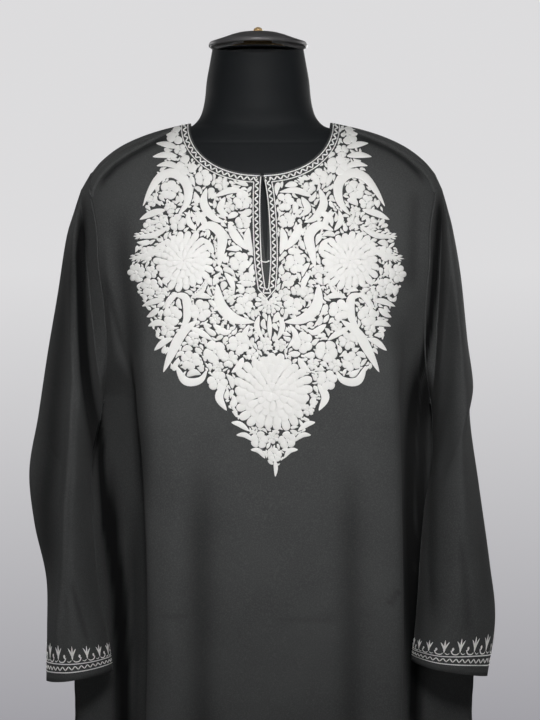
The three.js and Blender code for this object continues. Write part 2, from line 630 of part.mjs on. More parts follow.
function basePlate() {
  return turned(
    [
      { r: 0, z: 0 },
      { r: BASE.radius, z: 0 },
      { r: BASE.radius, z: BASE.height - BASE.chamfer },
      { r: BASE.radius - BASE.chamfer, z: BASE.height },
      { r: 0, z: BASE.height },
    ],
    48,
  );
}

function poleCollar() {
  const low = BASE.height + FIT;
  const bore = POLE_RADIUS + FIT;
  const outline = [
    { r: bore, z: low },
    { r: COLLAR.footRadius, z: low },
    { r: COLLAR.footRadius, z: low + COLLAR.footHeight },
    { r: COLLAR.radius, z: low + COLLAR.footHeight + COLLAR.taper },
    { r: COLLAR.radius, z: low + COLLAR.height },
    { r: bore, z: low + COLLAR.height },
    { r: bore, z: low },
  ];
  return turned(outline, 32);
}

function standPole() {
  const low = BASE.height + FIT;
  const top = FORM[0].z - 2 * FIT - FLANGE.height;
  return turned(
    [
      { r: 0, z: low },
      { r: POLE_RADIUS, z: low },
      { r: POLE_RADIUS, z: top },
      { r: 0, z: top },
    ],
    28,
  );
}

function formFlange() {
  const low = FORM[0].z - FIT - FLANGE.height;
  return turned(
    [
      { r: 0, z: low },
      { r: FLANGE.lowRadius, z: low },
      { r: FLANGE.radius, z: low + FLANGE.sideHeight },
      { r: FLANGE.radius, z: low + FLANGE.height },
      { r: 0, z: low + FLANGE.height },
    ],
    32,
  );
}

// The garment's four sewn pieces
const frontGrid = panelGrid(FRONT_DROPS, PANEL_COLUMNS, true);
const backGrid = panelGrid(BACK_DROPS, PANEL_COLUMNS, false);
const panelHub = (grid) => (i) => new THREE.Vector3(0, 0, Math.min(grid[i][0].z, UNDER_RIDGE_Z));
const ringHub = (grid) => (i) => {
  const sum = grid[i].reduce((total, p) => total.add(p), new THREE.Vector3());
  return sum.divideScalar(grid[i].length);
};

// Point of a panel's middle line at height z, on its flat facets
function middleLine(grid, z) {
  const line = grid.map((row) => row[(row.length - 1) / 2]);
  const below = line.findIndex((p) => p.z <= z);
  const [high, low] = [line[below - 1], line[below]];
  return high.clone().lerp(low, (high.z - z) / (high.z - low.z));
}

// Hook and eye that closes the top of the slit: a short bar laid across both edges
function neckHook(grid) {
  const down = (SLIT.topZ - HOOK.z) / (SLIT.topZ - SLIT.bottomZ);
  const across = THREE.MathUtils.lerp(SLIT.topX, SLIT.bottomX, Math.sqrt(down));
  const bar = new THREE.CapsuleGeometry(HOOK.radius, HOOK.length, 3, 10);
  bar.rotateZ(Math.PI / 2);
  bar.translate(across, middleLine(grid, HOOK.z).y - HOOK.radius - SEAM_GAP, HOOK.z);
  return bar;
}

function panelPiece(grid) {
  return { grid, closed: false, hub: panelHub(grid), sewn: { top: true, sides: true }, backOff: SEAM_GAP / 2 };
}

function sleevePiece(table, side) {
  const grid = sleeveGrid(armholeRing(frontGrid, backGrid, side), table, side);
  return { grid, closed: true, hub: ringHub(grid), sewn: { top: true, sides: false }, backOff: SEAM_GAP };
}

const pieces = {
  front: panelPiece(frontGrid),
  back: panelPiece(backGrid),
  sleeve_left: sleevePiece(LEFT_SLEEVE, -1),
  sleeve_right: sleevePiece(RIGHT_SLEEVE, 1),
};
prepareSeams(Object.values(pieces));

// Neckline and slit are cut out of the finished walls
const frontBowl = prismAlongY(necklineOutline(NECK.frontDepth), -CUT_REACH, 0);
const backBowl = prismAlongY(necklineOutline(NECK.backDepth), 0, CUT_REACH);
const slitCut = prismAlongY(slitOutline(), -CUT_REACH, 0);
const frontCloth = toSolid(clothWall(pieces.front)).subtract(frontBowl).subtract(slitCut);
const backCloth = toSolid(clothWall(pieces.back)).subtract(frontBowl).subtract(backBowl);

// Finishes
const wool = { color: 0x464849, roughness: 0.95, metalness: 0 };
const formCover = { color: 0x17181a, roughness: 0.8, metalness: 0 };
const gunmetal = { color: 0x3a3b3d, roughness: 0.4, metalness: 1 };
const brass = { color: 0xb08d4a, roughness: 0.35, metalness: 1 };
const blackPaint = { color: 0x1b1c1e, roughness: 0.45, metalness: 0 };

function mesh(name, geometry, finish) {
  const piece = new THREE.Mesh(geometry, new THREE.MeshStandardMaterial({ ...finish, name }));
  piece.name = name;
  return piece;
}

const garment = new THREE.Group();
garment.add(
  mesh("front", toGeometry(frontCloth), wool),
  mesh("back", toGeometry(backCloth), wool),
  mesh("sleeve_left", clothWall(pieces.sleeve_left), wool),
  mesh("sleeve_right", clothWall(pieces.sleeve_right), wool),
  mesh("neck_hook", neckHook(frontGrid), gunmetal),
);

const stand = new THREE.Group();
stand.add(
  mesh("form_body", dressForm(), formCover),
  mesh("form_neck_cap", neckCap(), gunmetal),
  mesh("form_cap_post", capPost(), brass),
  mesh("form_cap_knob", capKnob(), brass),
  mesh("form_flange", formFlange(), blackPaint),
  mesh("stand_pole", standPole(), blackPaint),
  mesh("stand_collar", poleCollar(), blackPaint),
  mesh("stand_base", basePlate(), blackPaint),
);

const pheranOnForm = new THREE.Group();
pheranOnForm.add(garment, stand);

export default pheranOnForm;
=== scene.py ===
"""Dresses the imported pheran: wool panels, white aari embroidery, a jersey dress form and its pole stand.

Metres, +Z up, front towards -Y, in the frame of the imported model. Plans, charts and sizes that are marked as
such are in millimetres, as on a cutting plan, and become metres where a mesh is made from them.
"""

import logging
import math
from dataclasses import dataclass, field
from enum import Enum
from functools import cache
from typing import Callable, Sequence

import bpy
import numpy as np
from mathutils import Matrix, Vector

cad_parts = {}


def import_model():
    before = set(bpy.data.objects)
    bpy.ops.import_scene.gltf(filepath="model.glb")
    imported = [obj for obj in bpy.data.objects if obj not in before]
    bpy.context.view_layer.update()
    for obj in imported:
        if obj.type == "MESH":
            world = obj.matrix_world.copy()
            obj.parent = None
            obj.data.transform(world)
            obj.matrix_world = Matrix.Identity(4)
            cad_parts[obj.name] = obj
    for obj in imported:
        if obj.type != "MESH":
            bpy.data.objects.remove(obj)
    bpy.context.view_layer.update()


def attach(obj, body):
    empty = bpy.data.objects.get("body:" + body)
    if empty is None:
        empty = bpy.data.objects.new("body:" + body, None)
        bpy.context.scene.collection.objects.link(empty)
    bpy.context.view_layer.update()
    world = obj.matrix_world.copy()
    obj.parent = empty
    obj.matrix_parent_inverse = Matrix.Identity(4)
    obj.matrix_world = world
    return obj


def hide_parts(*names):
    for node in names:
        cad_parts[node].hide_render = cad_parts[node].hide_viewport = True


LOG = logging.getLogger("pheran")
MM = 0.001
Colour = tuple[float, float, float]
Point = tuple[float, float]
Relief = tuple[float, float]  # strength of a bump, and its depth in metres
Grid = np.ndarray

HEM_Z = 322  # mm, height of the hem
SEAM_DROP = 9  # mm, how far the shoulder seam lies below the ridge, on the front
TOP_SECTION_Z = 1330  # mm, above this height every section has the same width
SIDE_Z = 1309  # mm, end of the shoulder
UNDERARM_DROP = 257  # mm, from the end of the shoulder to the underarm
UNDERARM_Z = SIDE_Z - UNDERARM_DROP
BODY_DROP = SIDE_Z - HEM_Z
FOLD_FREE = 0.1  # share of a panel next to its seams where folds die out
SPREAD_FROM = 0.72  # place across a panel where the spread below the left underarm begins
ARMHOLE_POINTS = 44  # points of an armhole on the front, and on the back
GROUND_CELL = 1.5  # mm, step of the yoke's ground
STITCH = 2.2  # mm, length of a chain stitch
CHAIN_STEP = 0.55  # mm, step of the points along a line of chain stitch
NARROWEST = 0.22  # mm, width of a stroke at its ends
SINK = 0.15  # mm, how deep the edge of a stroke sinks into the cloth
FINE = 1e-9  # least length of a direction before it is made a unit one
MERGE = 1e-6  # metres, points closer than this become one


def smooth_curve(keys: Sequence[float], values: np.ndarray, place: np.ndarray) -> np.ndarray:
    """Reads a smooth curve through values, held at its ends.

    Args:
        keys: Places of the values, rising or falling.
        values: One value a key, or one array a key in the shape of place.
        place: Where the curve is read.

    Returns:
        The curve's values, in the shape of place.
    """
    place = np.asarray(place, float)
    keys = np.asarray(keys, float)
    values = np.asarray(values, float)
    if keys[0] > keys[-1]:
        keys, values = keys[::-1], values[::-1]
    if values.ndim == 1:
        values = values.reshape((-1,) + (1,) * place.ndim)
    values = np.broadcast_to(values, (len(keys),) + place.shape)
    count = len(keys)
    low = np.maximum(np.arange(count) - 1, 0)
    high = np.minimum(np.arange(count) + 1, count - 1)
    tangents = (values[high] - values[low]) / (keys[high] - keys[low]).reshape((-1,) + (1,) * place.ndim)
    held = np.clip(place, keys[0], keys[-1])
    i = np.clip(np.searchsorted(keys, held) - 1, 0, count - 2)
    span = keys[i + 1] - keys[i]
    t = (held - keys[i]) / span

    def pick(source: np.ndarray, index: np.ndarray) -> np.ndarray:
        """Values of each place's own row."""
        return np.take_along_axis(source, index[None], 0)[0]

    return (
        (2 * t**3 - 3 * t**2 + 1) * pick(values, i)
        + (t**3 - 2 * t**2 + t) * span * pick(tangents, i)
        + (3 * t**2 - 2 * t**3) * pick(values, i + 1)
        + (t**3 - t**2) * span * pick(tangents, i + 1)
    )


def soft_step(x: np.ndarray) -> np.ndarray:
    """Eases from 0 to 1 as x goes from 0 to 1."""
    held = np.clip(x, 0, 1)
    return held * held * (3 - 2 * held)


@dataclass(frozen=True)
class Plan:
    """Rows of sizes in millimetres, read as smooth curves over their first column."""

    columns: tuple[str, ...]
    rows: tuple[tuple[float, ...], ...]

    def read(self, column: str, place: np.ndarray) -> np.ndarray:
        """Values of a column.

        Args:
            column: Name of the column.
            place: Places in the first column.

        Returns:
            Values in the shape of place.
        """
        table = np.array(self.rows, float)
        return smooth_curve(table[:, 0], table[:, self.columns.index(column)], place)


RIDGE = Plan(
    ("x", "z"),
    ((0, 1373), (50, 1369), (80, 1364), (112, 1357), (140, 1348), (165, 1336), (186, 1320), (198, 1306)),
)
FRONT = Plan(
    ("z", "x0", "f0", "x1", "f1", "x2", "f2", "x3", "f3", "x4", "f4"),
    (
        (1330, 0, 96, 67, 95, 99, 92, 142, 84, 198, 60),
        (1287, 0, 103, 67, 102, 99, 98, 142, 88, 196, 60),
        (1240, 0, 111, 67, 110, 99, 106, 142, 93, 187, 64),
        (1200, 0, 118, 69, 118, 104, 114, 148, 96, 185, 65),
        (1150, 0, 124, 76, 124, 118, 118, 156, 88, 180, 60),
        (1095, 0, 126, 88, 125, 137, 110, 155, 68, 180, 40),
        (1052, 0, 126, 94, 124, 140, 106, 150, 56, 187, -2),
        (1026, 0, 126, 96, 123, 141, 105, 147, 53, 190, -30),
        (1000, 0, 125, 98, 121, 141, 104, 144, 50, 192, -50),
        (980, 0, 124, 100, 120, 141, 103, 142, 48, 194, -56),
        (900, 0, 122, 104, 117, 141, 101, 136, 40, 200, -62),
        (800, 0, 120, 108, 115, 141, 99, 132, 32, 220, -64),
        (735, 0, 120, 109, 115, 141, 98, 131, 29, 234, -64),
        (675, 0, 119, 110, 114, 141, 98, 131, 26, 233, -62),
        (500, 0, 119, 112, 114, 146, 97, 133, 22, 239, -50),
        (322, 0, 120, 114, 115, 149, 97, 135, 20, 247, -45),
    ),
)
BACK = Plan(
    ("z", "x0", "f0", "x1", "f1", "x2", "f2", "f3"),
    (
        (1330, 0, 84, 99, 82, 150, 73, 58),
        (1240, 0, 100, 99, 98, 150, 86, 62),
        (1200, 0, 104, 99, 102, 150, 88, 64),
        (1150, 0, 106, 100, 104, 150, 88, 60),
        (1095, 0, 107, 102, 104, 152, 82, 42),
        (1052, 0, 108, 104, 105, 158, 76, 2),
        (1010, 0, 109, 105, 106, 161, 86, 46),
        (950, 0, 110, 108, 108, 166, 98, 58),
        (800, 0, 114, 112, 112, 178, 102, 64),
        (675, 0, 118, 118, 116, 194, 105, 62),
        (500, 0, 121, 124, 119, 204, 102, 50),
        (322, 0, 123, 128, 121, 210, 100, 45),
    ),
)
LEAN = Plan(
    ("z", "x"),
    ((1373, 5), (1298, 6), (1170, 8), (1052, 11), (967, 16), (800, 20), (675, 18), (322, 22)),
)
LEFT_SPREAD = Plan(
    ("z", "x"), ((1052, 1), (1040, 6), (1026, 11), (1000, 19), (975, 22), (900, 17), (800, 5), (735, 0))
)
SLEEVE_COLUMNS = ("at", "outer_x", "outer_z", "inner_x", "inner_z", "depth", "forward", "ridge", "round")
LEFT_SLEEVE = Plan(
    SLEEVE_COLUMNS,
    (
        (0.05, 203, 1291, 178, 1043, 42, 2, 0, 2),
        (0.12, 210, 1267, 180, 1028, 66, 5, -0.2, 1.9),
        (0.22, 219, 1236, 185, 1004, 70, 10, -0.35, 1.7),
        (0.36, 229, 1170, 190, 976, 71, 15, -0.45, 1.6),
        (0.48, 240, 1104, 190, 950, 69, 19, -0.5, 1.55),
        (0.6, 251, 1030, 189, 922, 65, 22, -0.5, 1.5),
        (0.7, 261, 967, 186, 888, 60, 25, -0.42, 1.5),
        (0.78, 255, 908, 183, 856, 58, 26, -0.3, 1.5),
        (0.87, 241, 845, 179, 819, 55, 27, -0.1, 1.6),
        (0.94, 240, 786, 171, 780, 51, 28, 0.1, 1.7),
        (1, 241, 729, 165, 740, 47, 28, 0.2, 1.7),
    ),
)
RIGHT_SLEEVE = Plan(
    SLEEVE_COLUMNS,
    (
        (0.05, 211, 1292, 199, 1042, 42, 2, 0, 2),
        (0.12, 216, 1271, 200, 1026, 66, 5, 0.2, 1.9),
        (0.22, 222, 1245, 200, 1000, 69, 10, 0.4, 1.8),
        (0.36, 231, 1190, 199, 974, 69, 15, 0.5, 1.7),
        (0.48, 238.5, 1116, 194, 946, 67, 19, 0.5, 1.7),
        (0.56, 245, 1066, 190, 925, 66, 21, 0.5, 1.6),
        (0.62, 241, 1034, 188, 905, 64, 22, 0.45, 1.6),
        (0.75, 252, 950, 184, 862, 60, 27, 0.3, 1.6),
        (0.86, 264, 862, 181, 818, 55, 32, 0.1, 1.7),
        (0.94, 270, 800, 178, 786, 50, 36, -0.2, 1.7),
        (1, 261, 735, 174, 752, 45, 38, -0.4, 1.7),
    ),
)


class Side(Enum):
    """Side of the tunic, as the viewer sees it."""

    LEFT = -1
    RIGHT = 1


class Panel(Enum):
    """The two panels of the body."""

    FRONT = "front"
    BACK = "back"


ROUND = {Panel.FRONT: 90, Panel.BACK: 84}  # mm, height over which a panel rounds off into the shoulder
HALF_PLACES = {Panel.FRONT: (0, 0.34, 0.5, 0.72, 1), Panel.BACK: (0, 0.5, 0.78, 1)}
# Columns: place across, push outwards in mm, width, height where a fold starts and where it is full.
FOLDS = {
    Panel.FRONT: (
        (-0.36, 4, 0.06, 1120, 900),
        (-0.24, -7, 0.07, 1100, 820),
        (-0.06, 3, 0.08, 1000, 700),
        (0.12, -3, 0.07, 940, 560),
        (0.3, -6, 0.07, 960, 700),
        (0.86, 9, 0.08, 900, 640),
        (-0.86, 9, 0.08, 900, 640),
    ),
    Panel.BACK: (
        (-0.72, 9, 0.1, 1150, 700),
        (-0.45, -11, 0.1, 1120, 640),
        (-0.16, 9, 0.1, 1050, 560),
        (0.14, -10, 0.1, 1140, 660),
        (0.42, 10, 0.1, 1080, 600),
        (0.7, -8, 0.09, 1120, 700),
    ),
}


@dataclass(frozen=True)
class Crease:
    """Soft ridge (out above 0) or trough laid along places as seen from the front, in mm."""

    places: tuple[Point, ...]
    width: float
    out: float
    # strength of the painted shade laid along the crease: the cloth's colour is darkened there in place of
    # real shadow
    painted_shade: float = 0.0
    fade: float = 5.0

    def near(self, x: np.ndarray, z: np.ndarray) -> np.ndarray:
        """Nearness to the crease, 1 on its line, and fading out towards its ends.

        Args:
            x: Places across, mm.
            z: Heights, mm.

        Returns:
            Nearness of each place.
        """
        marks = np.array(self.places, float)
        runs = np.diff(marks, axis=0)
        lengths = np.linalg.norm(runs, axis=1)
        starts = lengths_along(marks)
        least, along = np.full(x.shape, np.inf), np.zeros(x.shape)
        for mark, run, length, start in zip(marks, runs, lengths, starts):
            t = np.clip(((x - mark[0]) * run[0] + (z - mark[1]) * run[1]) / length**2, 0, 1)
            away = np.hypot(x - mark[0] - t * run[0], z - mark[1] - t * run[1])
            along = np.where(away < least, start + t * length, along)
            least = np.minimum(least, away)
        held = along / starts[-1]
        ends = soft_step(self.fade * held) * soft_step(self.fade * (1 - held))
        return ends * np.exp(-((least / self.width) ** 2))


def only(piece: bpy.types.Object) -> None:
    """Selects one piece and makes it the active one."""
    bpy.ops.object.select_all(action="DESELECT")
    piece.select_set(True)
    bpy.context.view_layer.objects.active = piece


def clean_mesh(piece: bpy.types.Object, merge: bool = False, outward: bool = True) -> None:
    """Merges the doubled points of a piece, turns its faces outwards, or both.

    Args:
        piece: The piece.
        merge: Whether its doubled points are merged.
        outward: Whether its faces are turned outwards.
    """
    only(piece)
    bpy.ops.object.mode_set(mode="EDIT")
    bpy.ops.mesh.select_all(action="SELECT")
    if merge:
        bpy.ops.mesh.remove_doubles(threshold=MERGE)
    if outward:
        bpy.ops.mesh.normals_make_consistent(inside=False)
    bpy.ops.object.mode_set(mode="OBJECT")


def apply_modifier(piece: bpy.types.Object, kind: str, **settings: object) -> None:
    """Adds a modifier and applies it.

    Args:
        piece: The piece it goes on.
        kind: The modifier's type, such as SOLIDIFY.
        settings: Its settings by name.
    """
    modifier = piece.modifiers.new(kind.title(), kind)
    for name, value in settings.items():
        setattr(modifier, name, value)
    only(piece)
    bpy.ops.object.modifier_apply(modifier=modifier.name)


def mesh_piece(
    name: str, points: np.ndarray, faces: Sequence[Sequence[int]], uvs: np.ndarray | None = None
) -> bpy.types.Object:
    """Makes a smooth piece from points and faces.

    Args:
        name: Name of the piece.
        points: Its points in metres, one a row.
        faces: Corner numbers of each face.
        uvs: Place of each point on the cloth or along the thread, in metres.

    Returns:
        The piece, linked to the scene.
    """
    mesh = bpy.data.meshes.new(name)
    mesh.from_pydata(np.asarray(points).tolist(), [], [list(f) for f in faces], shade_flat=False)
    if uvs is not None:
        corners = np.empty(len(mesh.loops), dtype=np.int32)
        mesh.loops.foreach_get("vertex_index", corners)
        mesh.uv_layers.new(name="UVMap").data.foreach_set("uv", np.asarray(uvs, np.float32)[corners].ravel())
    piece = bpy.data.objects.new(name, mesh)
    bpy.context.scene.collection.objects.link(piece)
    return piece


def read_vectors(items: Sequence, name: str) -> np.ndarray:
    """A vector of each vertex or face of a mesh, such as its normal."""
    values = np.empty(3 * len(items))
    items.foreach_get(name, values)
    return values.reshape(-1, 3)


def mark_points(piece: bpy.types.Object, name: str, values: np.ndarray) -> None:
    """Gives each point of a piece a value that its material reads."""
    marks = piece.data.attributes.new(name, "FLOAT", "POINT")
    marks.data.foreach_set("value", values.astype(np.float32))


def grid_faces(rows: int, columns: int, closed: bool = False, start: int = 0) -> np.ndarray:
    """Quads of a grid of points.

    Args:
        rows: Rows of points.
        columns: Points in a row.
        closed: Whether each row joins up with itself.
        start: Number of the grid's first point.

    Returns:
        Four corner numbers a quad.
    """
    i = np.arange(rows - 1)[:, None]
    j = np.arange(columns if closed else columns - 1)[None, :]
    k = (j + 1) % columns
    corners = [i * columns + j, i * columns + k, (i + 1) * columns + k, (i + 1) * columns + j]
    return start + np.stack([np.broadcast_to(c, (rows - 1, j.shape[1])) for c in corners], -1).reshape(-1, 4)


def tube_faces(rows: int, sides: int, start: int = 0) -> list[list[int]]:
    """Faces of a tube of rings: its quads, and a face over each end.

    Args:
        rows: Number of rings.
        sides: Points in a ring.
        start: Number of the tube's first point.

    Returns:
        Corner numbers of each face.
    """
    last = start + (rows - 1) * sides
    ends = [list(range(start, start + sides))[::-1], list(range(last, last + sides))]
    return [*grid_faces(rows, sides, True, start).tolist(), *ends]


def steps_along(points: Grid, axis: int) -> np.ndarray:
    """Length along a grid's rows (1) or columns (0) from their start, in the grid's own units."""
    runs = np.linalg.norm(np.diff(points, axis=axis), axis=-1)
    pad = [(0, 0), (0, 0)]
    pad[axis] = (1, 0)
    return np.cumsum(np.pad(runs, pad), axis=axis)


def lengths_along(line: np.ndarray) -> np.ndarray:
    """Length along a line from its start to each of its points."""
    return np.concatenate([[0], np.cumsum(np.linalg.norm(np.diff(line, axis=0), axis=1))])


def sides_of(line: np.ndarray) -> np.ndarray:
    """Unit steps to the left of a flat line, one for each of its points."""
    runs = np.gradient(line, axis=0)
    sides = np.stack([-runs[:, 1], runs[:, 0]], -1)
    return sides / np.maximum(np.linalg.norm(sides, axis=1, keepdims=True), FINE)


def grid_normals(points: Grid) -> Grid:
    """Unit normals of a grid of points, along the turn from its columns to its rows."""
    normals = np.cross(np.gradient(points, axis=0), np.gradient(points, axis=1))
    return normals / np.maximum(np.linalg.norm(normals, axis=-1, keepdims=True), FINE)


class NodeDesk:
    """Adds and links the nodes of one shader tree."""

    def __init__(self, tree: bpy.types.NodeTree) -> None:
        """Keeps the tree that the nodes go in."""
        self.tree = tree

    def add(self, kind: str, inputs: dict | None = None, **settings: object) -> bpy.types.Node:
        """Adds a node.

        Args:
            kind: The node's type without its ShaderNode prefix.
            inputs: Values or sockets for its inputs, by name or number.
            settings: Its own settings by name.

        Returns:
            The node.
        """
        node = self.tree.nodes.new("ShaderNode" + kind)
        for name, value in settings.items():
            setattr(node, name, value)
        for name, value in (inputs or {}).items():
            self.feed(node.inputs[name], value)
        return node

    def feed(self, socket: bpy.types.NodeSocket, value: object) -> None:
        """Links a socket to an input, or sets the input's value."""
        if isinstance(value, bpy.types.NodeSocket):
            self.tree.links.new(value, socket)
        else:
            socket.default_value = value

    def math(self, operation: str, *values: object) -> bpy.types.NodeSocket:
        """Result of a Math node on values or sockets."""
        return self.add("Math", dict(enumerate(values)), operation=operation).outputs[0]

    def blend(self, factor: object, low: object, high: object) -> bpy.types.NodeSocket:
        """Colour between two colours, each a socket or three numbers."""
        low, high = ((*colour, 1) if isinstance(colour, tuple) else colour for colour in (low, high))
        return self.add("MixRGB", {0: factor, 1: low, 2: high}).outputs[0]

    def spread(self, value: object, *ends: float) -> bpy.types.NodeSocket:
        """Value moved from one range, the first two ends, to another and held inside it."""
        return self.add("MapRange", dict(enumerate((value, *ends)))).outputs[0]

    def noise(self, place: object, scale: object, detail: float) -> bpy.types.NodeSocket:
        """Cloudy value around a half."""
        return self.add("TexNoise", {"Vector": place, "Scale": scale, "Detail": detail}).outputs[0]

    def wave(self, value: object, turn: float) -> bpy.types.NodeSocket:
        """Sine of a value times a turn."""
        return self.math("SINE", self.math("MULTIPLY", value, turn))


class MaterialDesk(NodeDesk):
    """Desk of a new material, with the coordinates of its piece."""

    def __init__(self, name: str) -> None:
        """Makes the material."""
        self.material = bpy.data.materials.new(name)
        self.material.use_nodes = True
        super().__init__(self.material.node_tree)
        self.place = self.add("TexCoord").outputs

    def effect(self, group: bpy.types.NodeTree, place: str, **values: float) -> dict:
        """Places a shared effect on the UV or Object coordinates, and gives its outputs."""
        node = self.add("Group", {"Place": self.place[place], **values}, node_tree=group)
        return {socket.name: socket for socket in node.outputs}

    def mark(self, name: str) -> bpy.types.NodeSocket:
        """Value that each point of the piece carries."""
        return self.add("Attribute", attribute_name=name, attribute_type="GEOMETRY").outputs["Fac"]

    def finish(self, looks: dict, bump: Relief | None = None, height: object = 0.0) -> bpy.types.Material:
        """Feeds the Principled shader.

        Args:
            looks: Values or sockets for its inputs.
            bump: Strength of its bump, and depth in metres.
            height: Socket of the bump's height.

        Returns:
            The finished material.
        """
        shader = self.tree.nodes["Principled BSDF"].inputs
        for name, value in looks.items():
            self.feed(shader[name], value)
        if bump:
            relief = self.add("Bump", {"Strength": bump[0], "Distance": bump[1], "Height": height})
            self.feed(shader["Normal"], relief.outputs[0])
        return self.material


def effect_group(
    name: str, values: dict[str, float], outputs: Sequence[str], wire: Callable[[NodeDesk, dict], dict]
) -> bpy.types.NodeTree:
    """Builds a shared effect once. Its first input is a place in metres.

    Args:
        name: Name of the group.
        values: Its other inputs and their values.
        outputs: Names of its outputs, all values.
        wire: Function that wires the effect: given the desk and the input sockets, it gives the outputs.

    Returns:
        The node group.
    """
    if name in bpy.data.node_groups:
        return bpy.data.node_groups[name]
    group = bpy.data.node_groups.new(name, "ShaderNodeTree")
    group.interface.new_socket(name="Place", in_out="INPUT", socket_type="NodeSocketVector")
    for label, value in values.items():
        socket = group.interface.new_socket(name=label, in_out="INPUT", socket_type="NodeSocketFloat")
        socket.default_value = value
    for label in outputs:
        group.interface.new_socket(name=label, in_out="OUTPUT", socket_type="NodeSocketFloat")
    entry = group.nodes.new("NodeGroupInput")
    leave = group.nodes.new("NodeGroupOutput")
    results = wire(NodeDesk(group), {label: entry.outputs[label] for label in ("Place", *values)})
    for label, socket in results.items():
        group.links.new(socket, leave.inputs[label])
    return group


def twill_weave() -> bpy.types.NodeTree:
    """Fine twill: slanting ribs crossed by single threads, from a place on the cloth."""

    def wire(desk: NodeDesk, given: dict) -> dict:
        """Wires the ribs, the crossing threads and their unevenness."""
        along, up, _ = desk.add("SeparateXYZ", {0: given["Place"]}).outputs
        wobble = desk.math("MULTIPLY", desk.noise(given["Place"], 260.0, 2.0), 1.2)
        slant = desk.math("ADD", along, desk.math("MULTIPLY", up, 1.15))
        turns = desk.math("MULTIPLY", desk.math("DIVIDE", slant, given["Pitch"]), math.tau)
        rib = desk.math("SINE", desk.math("ADD", turns, wobble))
        cross = desk.math("DIVIDE", desk.math("SUBTRACT", along, up), given["Pitch"])
        thread = desk.math("MULTIPLY", desk.wave(cross, 2.3 * math.tau), 0.12)
        mixed = desk.math("ADD", desk.math("MULTIPLY", rib, 0.34), thread)
        return {"Height": desk.math("ADD", mixed, 0.5)}

    return effect_group("twill_weave", {"Pitch": 0.0011}, ("Height",), wire)


def wool_tone() -> bpy.types.NodeTree:
    """Cloud of slow colour change, and the pale specks of single fibres."""

    def wire(desk: NodeDesk, given: dict) -> dict:
        """Wires the clouds and the specks."""
        cloud = desk.noise(given["Place"], given["Clouds"], 3.0)
        speck = desk.noise(given["Place"], given["Specks"], 4.0)
        return {
            "Cloud": desk.spread(cloud, 0.32, 0.68, 0.0, 1.0),
            "Specks": desk.spread(speck, 0.44, 0.74, 0.0, 1.0),
        }

    return effect_group("wool_tone", {"Clouds": 9.0, "Specks": 900.0}, ("Cloud", "Specks"), wire)


def chain_stitch() -> bpy.types.NodeTree:
    """Rows of chain stitches along a thread: x runs along it and y across it."""

    def wire(desk: NodeDesk, given: dict) -> dict:
        """Wires the rows and their links."""
        along, aside, _ = desk.add("SeparateXYZ", {0: given["Place"]}).outputs
        ridge = desk.math("ABSOLUTE", desk.wave(desk.math("DIVIDE", aside, given["Row"]), math.pi))
        lag = desk.math("MULTIPLY", ridge, 0.5)
        link = desk.math("ADD", desk.math("DIVIDE", along, given["Link"]), lag)
        loop = desk.math("ABSOLUTE", desk.wave(link, math.pi))
        height = desk.math("ADD", desk.math("MULTIPLY", ridge, 0.6), desk.math("MULTIPLY", loop, 0.4))
        return {"Height": height}

    return effect_group("chain_stitch", {"Row": 0.0009, "Link": 0.0022}, ("Height",), wire)


def hand_wear() -> bpy.types.NodeTree:
    """Fine grain and the soft smudges of hands, for metal and paint."""

    def wire(desk: NodeDesk, given: dict) -> dict:
        """Wires the grain and the smudges."""
        grain = desk.noise(given["Place"], given["Grain"], 3.0)
        smudge = desk.noise(given["Place"], 22.0, 4.0)
        return {"Grain": grain, "Smudge": desk.spread(smudge, 0.42, 0.7, 0.0, 1.0)}

    return effect_group("hand_wear", {"Grain": 900.0}, ("Grain", "Smudge"), wire)


@dataclass(frozen=True)
class WoolTwill:
    """Charcoal wool in a fine twill, with a soft nap."""

    name: str = "charcoal_wool"
    deep: Colour = (0.049, 0.0505, 0.051)
    worn: Colour = (0.067, 0.069, 0.069)
    fibre: Colour = (0.115, 0.115, 0.112)
    # painted shade: colour that the deepest folds are darkened to
    fold: Colour = (0.003, 0.0032, 0.0034)
    pitch: float = 0.0011
    specks: float = 760.0
    speck_share: float = 0.42
    bump: Relief = (0.35, 0.0002)

    def make(self) -> bpy.types.Material:
        """Builds the material.

        Returns:
            Material that follows the cloth's own UV map, in metres, with painted shade deep in the folds: the
            depth mark darkens its colour towards the fold colour.
        """
        desk = MaterialDesk(self.name)
        weave = desk.effect(twill_weave(), "UV", Pitch=self.pitch)["Height"]
        tone = desk.effect(wool_tone(), "Object", Specks=self.specks)
        ground = desk.blend(tone["Cloud"], self.deep, self.worn)
        # painted shade in the weave: its low parts are darkened towards the deep colour
        shaded = desk.blend(desk.spread(weave, 0.1, 0.8, 0.4, 0.0), ground, self.deep)
        colour = desk.blend(desk.math("MULTIPLY", tone["Specks"], self.speck_share), shaded, self.fibre)
        looks = {
            # painted fold shade, from the depth mark
            "Base Color": desk.blend(desk.mark("depth"), colour, self.fold),
            "Roughness": desk.spread(tone["Cloud"], 0.0, 1.0, 0.86, 0.95),
            "Specular IOR Level": 0.04,
            "Sheen Weight": 0.03,
            "Sheen Roughness": 0.45,
        }
        nap = desk.math("ADD", weave, desk.math("MULTIPLY", tone["Specks"], 0.5))
        return desk.finish(looks, self.bump, nap)


